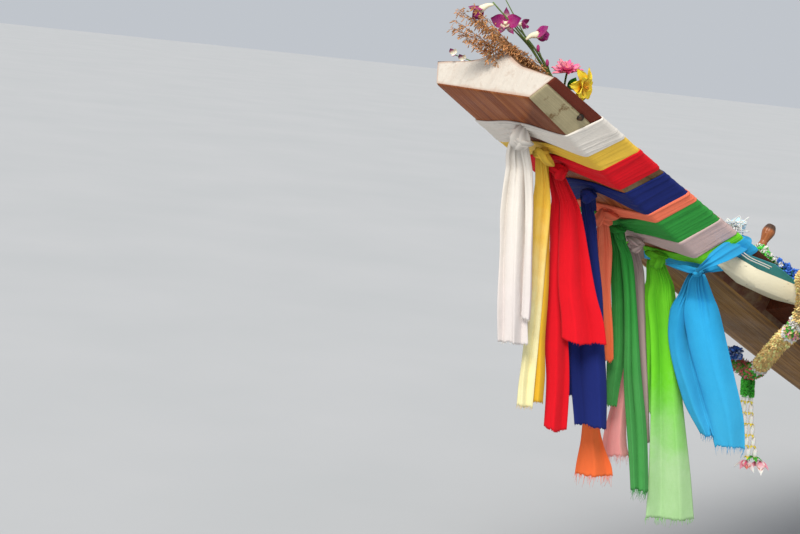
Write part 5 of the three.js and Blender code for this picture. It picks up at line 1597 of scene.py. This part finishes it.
def peg():
    """A turned peg on the stem's ridge, its top weathered dark and split."""
    look = Look("turned_teak", Coat_Weight=0.25, Coat_Roughness=0.3, Specular_IOR_Level=0.3)
    tint = look.node("Attribute", attribute_name="tint").outputs["Color"]
    grain = look.noise(look.marks((260, 34, 1)), 1.0, 5, 0.65, 0.4)
    colour = look.mix(look.ramp(grain, (0.36, 0.55), (0.6, 0.0)), tint,
                      look.mix(1.0, tint, (0.4, 0.3, 0.25), "MULTIPLY"))
    look.done(colour, 0.42, look.relief(grain, 0.0008))
    foot = fair(SPINE, 2, PEG_PLACE) + fair(SPINE, 4, PEG_PLACE)
    height = np.array([row[0] for row in PEG])
    fine = np.linspace(height[0], height[-1], 90)
    radius = np.interp(fine, height, [row[1] for row in PEG])
    path = on_spine(PEG_PLACE, 0.0, foot + fine)
    dark = smooth((fine - 0.086) / 0.010)
    teak, weathered = np.array((0.42, 0.135, 0.04)), np.array((0.09, 0.045, 0.025))
    tints = teak + dark[:, None] * (weathered - teak)

    def split(t, turn):
        long_one = 0.10 * np.exp(-((turn - 1.2) / 0.09) ** 2) * (t > 0.72)
        short_one = 0.08 * np.exp(-((turn - 4.0) / 0.08) ** 2) * (t > 0.80)
        return 1 - long_one - short_one

    shape = Shape()
    sweep(shape, path, radius, sides=72, tint=tints, bulge=split)
    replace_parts(shape.piece("peg", look.material, "turned_teak"), "bow_peg")


def stem_boards():
    """Thin turquoise boards on the stem's sides, above the rails' noses."""
    look = paint_look("turquoise_boards", (0.04, 0.30, 0.33), (0.14, 0.09, 0.05), 0.22, 0.4, 0.7)
    shape = Shape()
    along = np.linspace(0.775, 1.03, 40)
    for side in (1, -1):
        rings = []
        for s in along:
            half, deep, flare = (fair(SPINE, k, s) for k in (1, 2, 3))
            low = np.interp(s, (0.775, 0.92, 1.03), (0.030, 0.068, 0.098))
            high = min(low + 0.042 * float(smooth((s - 0.765) / 0.03)), deep - 0.002)
            thick = 0.0065
            ring = [(low, 0.0004), (low, thick), (high - 0.002, thick), (high, thick - 0.002), (high, 0.0004)]
            rings.append([on_spine(s, side * (half + flare * up / deep + out), up) for up, out in ring])
        last = 5 * (len(along) - 1)
        faces = grid_faces(len(along), 5, closed=True)
        faces += [(0, 1, 2, 3, 4), tuple(range(last, last + 5))[::-1]]
        shape.add(np.array(rings), faces if side > 0 else [f[::-1] for f in faces])
    shape.piece("stem_boards", look, "turquoise_paint", flat=True)


def rub_look():
    """The rub rail: blue above, cream along its lower half."""
    look = Look("rub_rail", Specular_IOR_Level=0.5)
    brush = look.noise(look.place((4, 200, 200)), 1.0, 4)
    cloud = look.noise(look.place(), 6, 6, 0.68)
    normal = look.node("NewGeometry").outputs["Normal"]
    lower = look.node("SeparateXYZ", {0: normal}).outputs[2]
    colour = look.mix(look.ramp(lower, (0.18, 1.0), (0.28, 0.0)), (0.035, 0.13, 0.34), (0.66, 0.60, 0.42))
    colour = look.mix(look.ramp(cloud, (0.36, 0.45), (0.6, 0.0)), colour, (0.12, 0.10, 0.08))
    chips = look.ramp(look.noise(look.place((1, 3, 3)), 30, 6, 0.75), (0.63, 0.0), (0.67, 1.0))
    colour = look.mix(chips, colour, (0.16, 0.10, 0.06))
    return look.done(colour, 0.42, look.relief(look.sum("SUBTRACT", brush, chips), 0.0008))


def engine_finish():
    black = metal_look("black_iron", (0.035, 0.033, 0.030), 0.5, 0.5, 0.6, 0.35)
    greasy = metal_look("greasy_iron", (0.07, 0.055, 0.042), 0.55, 0.42, 0.8, 0.5)
    alloy = metal_look("cast_aluminium", (0.42, 0.41, 0.39), 0.7, 0.5, 0.85, 0.15)
    steel = metal_look("bare_steel", (0.36, 0.33, 0.30), 0.85, 0.38, 0.6, 0.45)
    rust = metal_look("rusty_pipe", (0.16, 0.07, 0.035), 0.25, 0.85, 0.5, 0.9)
    bronze = metal_look("propeller_bronze", (0.62, 0.42, 0.17), 0.95, 0.28, 0.35)
    rows = [
        ("swivel_yoke", black, "black_iron", "swivel"), ("cradle", greasy, "greasy_iron", "engine"),
        ("engine_block", greasy, "greasy_iron", "engine"),
        ("cylinder_head", alloy, "cast_aluminium", "engine"),
        ("bell_housing", black, "black_iron", "engine"), ("crank_pulley", steel, "bare_steel", "engine"),
        ("air_cleaner", black, "black_iron", "engine"), ("exhaust_manifold", rust, "rusty_pipe", "engine"),
        ("exhaust_pipe", rust, "rusty_pipe", "engine"), ("tiller", steel, "bare_steel", "engine"),
        ("shaft_tube", black, "black_iron", "engine"), ("cooling_pipe", steel, "bare_steel", "engine"),
        ("propeller", bronze, "propeller_bronze", "propeller"),
    ]
    for node, look, slot, body in rows:
        dress(node, look, body, bevel=0.002, round_at=50)


hull_finish()
stem_boards()
engine_finish()


# Fastenings and fittings. A hex is six-sided, a stud is round and low.

def hex_bolt(shape, place, out, radius, high=None):
    high = radius * 0.75 if high is None else high
    out = np.asarray(out, float) / np.linalg.norm(out)
    place = np.asarray(place, float)
    sweep(shape, [place - out * 0.002, place + out * high * 0.85, place + out * high],
          [radius, radius, radius * 0.82], sides=6)


def stud(shape, place, out, radius):
    out = np.asarray(out, float) / np.linalg.norm(out)
    place = np.asarray(place, float)
    sweep(shape, [place - out * 0.001, place + out * 0.0012, place + out * 0.0024],
          [radius, radius, radius * 0.6], sides=8)


def box_at(shape, size, middle, tint=(1, 1, 1)):
    size, middle = np.asarray(size, float) / 2, np.asarray(middle, float)
    corners = [middle + size * (a, b, c) for a in (-1, 1) for b in (-1, 1) for c in (-1, 1)]
    shape.add(corners, [(0, 1, 3, 2), (4, 6, 7, 5), (0, 4, 5, 1), (2, 3, 7, 6), (0, 2, 6, 4), (1, 5, 7, 3)],
              tint)


def strake_levels(tree, x, side):
    """Lowest and highest point of a strake's outer face at a station."""
    found = [z for z in np.arange(-0.32, 1.05, 0.01)
             if hit(tree, (x, side * 2.0, z), (0, -side, 0)) is not None]
    return (found[0], found[-1]) if len(found) > 5 else None


NAIL_STATIONS = [-4.66, -4.35, -3.90] + [-3.23 + 0.52 * k for k in range(11)] + [2.50, 2.90, 3.30, 3.70]
NAIL_INSET = 0.028


def plank_nails():
    """Two nails through every plank at each frame, and a row along both rails."""
    shape = Shape()
    for name, side in (("port", 1), ("starboard", -1)):
        for k in range(1, 5):
            tree = tree_of(f"strake_{name}_{k}")
            for x in NAIL_STATIONS:
                levels = strake_levels(tree, x, side)
                if levels is None or levels[1] - levels[0] < 3 * NAIL_INSET:
                    continue
                for z in (levels[0] + NAIL_INSET, (levels[0] + levels[1]) / 2, levels[1] - NAIL_INSET):
                    place, normal = tree.ray_cast(Vector((x, side * 2.0, z)), Vector((0, -side, 0)))[:2]
                    if place is not None:
                        stud(shape, place, normal if normal.y * side > 0 else -normal, 0.0052)
        rail = tree_of(f"gunwale_{name}")
        for x in np.arange(-4.55, 4.1, 0.26):
            found = [y for y in np.arange(0.1, 1.0, 0.01)
                     if hit(rail, (x, side * y, 1.3), (0, 0, -1)) is not None]
            if len(found) > 2:
                middle = (found[0] + found[-1]) / 2
                stud(shape, hit(rail, (x, side * middle, 1.3), (0, 0, -1)), (0, 0, 1), 0.0060)
    for x in (-1.5, 0.0, 1.5):
        tree = tree_of(f"thwart_{3 - round((x + 1.5) / 1.5)}")
        for side in (1, -1):
            for forward in (-0.08, 0.08):
                for inboard in (0.62, 0.56):
                    place = hit(tree, (x + forward, side * inboard, 0.6), (0, 0, -1))
                    if place is not None:
                        stud(shape, place, (0, 0, 1), 0.0055)
    for y in (-0.46, -0.28, -0.10, 0.10, 0.28, 0.46):
        for z in (0.18, 0.42, 0.66):
            place = hit(tree_of("transom"), (-6.0, y, z), (1, 0, 0))
            if place is not None:
                stud(shape, place, (-1, 0, 0), 0.0060)
    shape.piece("plank_nails", metal_look("nail_iron", (0.035, 0.026, 0.020), 0.4, 0.7, 0.5, 0.8),
                "black_iron")


PIVOT = np.array((-4.520, 0.0, 1.100))


def by_engine(x, y, z):
    """A place given in mm from the tilt axis."""
    return PIVOT + np.array((x, y, z), float) / 1000


def block_ribs(shape):
    for k in range(8):
        x = 262 + k * 59
        if not 290 < x < 430:
            box_at(shape, (0.010, 0.012, 0.112), by_engine(x, 99, 268))
        box_at(shape, (0.010, 0.012, 0.054), by_engine(x, -99, 240))
    for y in (-1, 1):
        box_at(shape, (0.510, 0.012, 0.014), by_engine(470, y * 129, 206))
        box_at(shape, (0.510, 0.012, 0.014), by_engine(470, y * 129, 52))
        for x in range(230, 720, 48):
            hex_bolt(shape, by_engine(x, y * 135, 52), (0, y, 0), 0.007)
            hex_bolt(shape, by_engine(x, y * 135, 206), (0, y, 0), 0.007)
    for x in (330, 470, 610):
        box_at(shape, (0.064, 0.010, 0.062), by_engine(x, -99, 300))
        for side in (-1, 1):
            hex_bolt(shape, by_engine(x + side * 26, -104, 300), (0, -1, 0), 0.007, 0.010)


def head_fittings(shape):
    for k in range(7):
        for y in (-76, 76):
            hex_bolt(shape, by_engine(272 + 66 * k, y, 396), (0, 0, 1), 0.009, 0.011)
    for k in range(5):
        box_at(shape, (0.012, 0.096, 0.008), by_engine(290 + 90 * k, 0, 442))
    for x, y in ((268, 44), (268, -44), (470, 44), (470, -44), (672, 44), (672, -44)):
        hex_bolt(shape, by_engine(x, y, 440), (0, 0, 1), 0.008, 0.010)


def injection(shape):
    """Pump on the block's port side, with a steel pipe to each injector."""
    box_at(shape, (0.160, 0.052, 0.062), by_engine(520, 121, 262))
    box_at(shape, (0.040, 0.060, 0.080), by_engine(436, 124, 258))
    for k in range(4):
        outlet, x = 464 + 36 * k, 290 + 110 * k
        sweep(shape, [by_engine(outlet, 122, 290), by_engine(outlet, 122, 308)], 0.009, sides=8)
        sweep(shape, [by_engine(x, 62, 388), by_engine(x, 72, 436)], 0.011, sides=10)
        hex_bolt(shape, by_engine(x, 72, 436), (0, 0.2, 1), 0.010, 0.010)
        route = [(outlet, 122, 306), (outlet, 120, 330), (outlet - 0.4 * (outlet - x), 106, 356),
                 (x, 100, 400),
                 (x, 92, 436), (x, 74, 450)]
        sweep(shape, bend([by_engine(*point) for point in route], 30), 0.0034, sides=7)


def belt_loop():
    """The belt's route in the pulleys' plane: a loop stretched round both."""
    wheels = ((0, 150, 69), (158, 190, 25))
    ring = [(y + radius * math.cos(a), z + radius * math.sin(a))
            for y, z, radius in wheels for a in np.linspace(0, 2 * math.pi, 64, endpoint=False)]
    middle = np.array((60.0, 160.0))
    outline = []
    for a in np.linspace(0, 2 * math.pi, 90, endpoint=False):
        way = np.array((math.cos(a), math.sin(a)))
        outline.append(max(ring, key=lambda point: float(np.dot(np.array(point) - middle, way))))
    loop = [point for k, point in enumerate(outline) if k == 0 or math.dist(point, outline[k - 1]) > 1.0]
    return [by_engine(750, y, z) for y, z in loop + loop[:1]]


def front_drive(steel, rubber):
    sweep(rubber, belt_loop(), 0.0035, 0.0052, sides=4, up=(1, 0, 0))
    sweep(steel, [by_engine(x, 158, 190) for x in (720, 738, 739, 744, 750, 756, 761, 762, 768)],
          [0.012, 0.012, 0.029, 0.029, 0.022, 0.029, 0.029, 0.012, 0.010], sides=24)
    hex_bolt(steel, by_engine(770, 0, 150), (1, 0, 0), 0.020, 0.016)
    for turn in range(5):
        a = 2 * math.pi * turn / 5
        hex_bolt(steel, by_engine(770, 42 * math.cos(a), 150 + 42 * math.sin(a)), (1, 0, 0), 0.007)
    for x in (606, 622, 698, 714):
        sweep(steel, [by_engine(x - 3, 158, 190), by_engine(x + 3, 158, 190)], 0.055, sides=28)
    for k in range(12):
        a = 2 * math.pi * k / 12
        box_at(steel, (0.062, 0.006, 0.006), by_engine(660, 158 + 53 * math.cos(a), 190 + 53 * math.sin(a)))


def cradle_fittings(shape):
    for x in (225, 760):
        for y in (-196, 196):
            bead(shape, by_engine(x, y, 462), 0.0165, (1, 1, 1), sides=12, rings=9)
            sweep(shape, [by_engine(x, y, 38), by_engine(x, y, 46)], 0.020, sides=12)
    for y in (-1, 1):
        hex_bolt(shape, by_engine(0, y * 124, 0), (0, y, 0), 0.022, 0.014)
        for x in (-160, 420, 860):
            for z in (-16, 16):
                hex_bolt(shape, by_engine(x, y * 95, z), (0, y, 0), 0.009)
        for x in (240, 740):
            hex_bolt(shape, by_engine(x, y * 148, 57), (0, 0, 1), 0.011, 0.012)
            hex_bolt(shape, by_engine(x, y * 112, 57), (0, 0, 1), 0.009, 0.010)
    for y in (-40, 40):
        for z in (-18, 18):
            hex_bolt(shape, by_engine(892, y, z), (1, 0, 0), 0.009)


def tail_fittings(shape):
    """Flange and bolts behind the bell, collars on the tube and straps round the cooling pipe."""
    sweep(shape, [by_engine(x, 0, 150) for x in (60, 74)], 0.064, sides=32)
    for k in range(6):
        a = 2 * math.pi * (k + 0.5) / 6
        hex_bolt(shape, by_engine(60, 52 * math.cos(a), 150 + 52 * math.sin(a)), (-1, 0, 0), 0.009)
    for x in (-700, -1400, -2100, -2800):
        sweep(shape, [by_engine(x - 14, 0, 150), by_engine(x + 14, 0, 150)], 0.0405, sides=28)
        sweep(shape, [by_engine(x - 14, 0, 99), by_engine(x + 14, 0, 99)], 0.0150, sides=16)
        for y in (-26, 26):
            box_at(shape, (0.028, 0.004, 0.030), by_engine(x, y * 0.6, 108))
    for x in (-1050, -3060):
        sweep(shape, [by_engine(x - 26, 0, 150), by_engine(x + 26, 0, 150)], 0.046, sides=28)
        hex_bolt(shape, by_engine(x, 0, 196), (0, 0, 1), 0.007, 0.012)
    for x in (-3150, -3095, -2995, -2940):
        box_at(shape, (0.008, 0.020, 0.020), by_engine(x, 0, 118))


def exhaust_fittings(shape, soot_and_shade):
    start, end = by_engine(100, -150, 340), by_engine(-500, -150, 620)
    way = (end - start) / np.linalg.norm(end - start)
    for along in (0.04, 0.28, 0.89, 0.97):
        at = start + (end - start) * along
        sweep(shape, [at - way * 0.008, at + way * 0.008], 0.041 if 0.25 < along < 0.9 else 0.030, sides=20)
    # A near-black disc closes the pipe's mouth: soot, and painted shade of the pipe's dark inside.
    sweep(soot_and_shade, [end - way * 0.002, end + way * 0.0015], 0.0215, sides=20)


def oil_filter(shape):
    sweep(shape, [by_engine(560, y, 130) for y in (-122, -132, -134, -196, -202, -206)],
          [0.030, 0.030, 0.038, 0.038, 0.034, 0.022], sides=32)


def grip_rings(shape):
    start, end = by_engine(1640, 0, 296), by_engine(1760, 0, 333)
    for k in range(9):
        at = start + (end - start) * (0.08 + 0.105 * k)
        sweep(shape, [at - (end - start) * 0.02, at + (end - start) * 0.02], 0.0250, sides=20)


def engine_fittings():
    iron, steel, rubber, soot_and_shade, painted = (Shape() for _ in range(5))
    block_ribs(iron)
    cradle_fittings(iron)
    tail_fittings(iron)
    exhaust_fittings(iron, soot_and_shade)
    head_fittings(steel)
    injection(steel)
    front_drive(steel, rubber)
    grip_rings(rubber)
    oil_filter(painted)
    rubber_look = Look("rubber", Specular_IOR_Level=0.2).done((0.018, 0.017, 0.016), 0.8)
    # Near black: soot, and painted shade of the pipe's inside.
    soot_and_shade_look = Look("soot_and_shade", Specular_IOR_Level=0.0).done((0.004, 0.004, 0.004), 1.0)
    iron.piece("iron_fittings", metal_look("fittings_iron", (0.06, 0.050, 0.042), 0.5, 0.5, 0.7, 0.6),
               "black_iron", "engine")
    steel.piece("steel_fittings", metal_look("fittings_steel", (0.34, 0.31, 0.28), 0.8, 0.4, 0.6, 0.3),
                "bare_steel", "engine")
    rubber.piece("rubber_fittings", rubber_look, "black_iron", "engine")
    soot_and_shade.piece("exhaust_mouth", soot_and_shade_look, "rusty_pipe", "engine")
    painted.piece("oil_filter", paint_look("filter_paint", (0.50, 0.12, 0.03), (0.08, 0.06, 0.05), 0.3, 0.4,
                                           1.0), "greasy_iron", "engine")
    swivel = Shape()
    for x in (-32, 32):
        for y in (-76, 76):
            hex_bolt(swivel, by_engine(x, y, -68), (0, 0, 1), 0.011, 0.011)
    swivel.piece("yoke_bolts", metal_look("yoke_iron", (0.05, 0.045, 0.04), 0.5, 0.5, 0.6, 0.5),
                 "black_iron", "swivel")
    nut = Shape()
    hex_bolt(nut, by_engine(-3352, 0, 150), (-1, 0, 0), 0.021, 0.018)
    nut.piece("propeller_nut", metal_look("nut_bronze", (0.55, 0.38, 0.16), 0.9, 0.35, 0.4),
              "propeller_bronze", "propeller")


def post_bands():
    """Iron bands and bolts on the engine post."""
    low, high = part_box("engine_post")
    middle = (low + high) / 2
    shape = Shape()
    for z in (high.z - 0.03, high.z - 0.16):
        for side in (-1, 1):
            box_at(shape, (high.x - low.x + 0.010, 0.005, 0.036),
                   (middle.x, middle.y + side * ((high.y - low.y) / 2 + 0.0022), z))
            box_at(shape, (0.005, high.y - low.y + 0.010, 0.036),
                   (middle.x + side * ((high.x - low.x) / 2 + 0.0022), middle.y, z))
            for x in (-0.045, 0.045):
                hex_bolt(shape, (middle.x + x, middle.y + side * ((high.y - low.y) / 2 + 0.004), z),
                         (0, side, 0), 0.008)
    shape.piece("post_bands", metal_look("band_iron", (0.045, 0.038, 0.032), 0.5, 0.55, 0.6, 0.7),
                "black_iron")


plank_nails()
post_bands()
engine_fittings()


# Floor and light

FLOOR = 60.0
HULL_AFT = -4.68
HULL_INSET = 0.008


def waterline():
    """The floor's hole: the hull's outline at the waterline, a little inside its planks."""
    outline = []
    names = [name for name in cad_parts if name.startswith("strake_port") or name == "stem_post"]
    trees = [tree_of(name) for name in names]
    for x in np.linspace(HULL_AFT, 4.0, 120):
        places = [hit(tree, (x, 2.0, 0.0), (0, -1, 0)) for tree in trees]
        wide = max([place.y for place in places if place is not None], default=0.0)
        if wide < 2 * HULL_INSET:
            break
        outline.append((x, wide - HULL_INSET, 0.0))
    return outline[::-1] + [(x, -y, 0.0) for x, y, _ in outline]


def stage():
    look = Look("floor", Roughness=0.7)
    cloud = look.noise(look.place(), 0.8, 3)
    floor_look = look.done(look.ramp(cloud, (0.3, (0.47, 0.48, 0.485)), (0.7, (0.50, 0.505, 0.51))), 0.7)
    inner = waterline()
    outer = [(FLOOR * math.cos(a), FLOOR * math.sin(a), 0.0)
             for a in (math.atan2(3 * y, x) for x, y, _ in inner)]
    count = len(inner)
    faces = [(i, count + i, count + (i + 1) % count, (i + 1) % count) for i in range(count)]
    mesh = bpy.data.meshes.new("floor")
    mesh.from_pydata(inner + outer, [], faces)
    mesh.materials.append(floor_look)
    floor = bpy.data.objects.new("floor", mesh)
    bpy.context.scene.collection.objects.link(floor)
    world = bpy.data.worlds.new("studio")
    world.use_nodes = True
    world.node_tree.nodes["Background"].inputs["Color"].default_value = (0.88, 0.93, 1.0, 1.0)
    world.node_tree.nodes["Background"].inputs["Strength"].default_value = 0.60
    bpy.context.scene.world = world
    bpy.context.scene.view_settings.view_transform = "Standard"
    sun = bpy.data.lights.new("key", "SUN")
    sun.energy = 3.2
    sun.angle = math.radians(26)
    sun.color = (1.0, 0.97, 0.92)
    key = bpy.data.objects.new("key", sun)
    key.rotation_euler = Vector((-0.75, -0.45, -0.85)).to_track_quat("-Z", "Y").to_euler()
    bpy.context.scene.collection.objects.link(key)


stage()
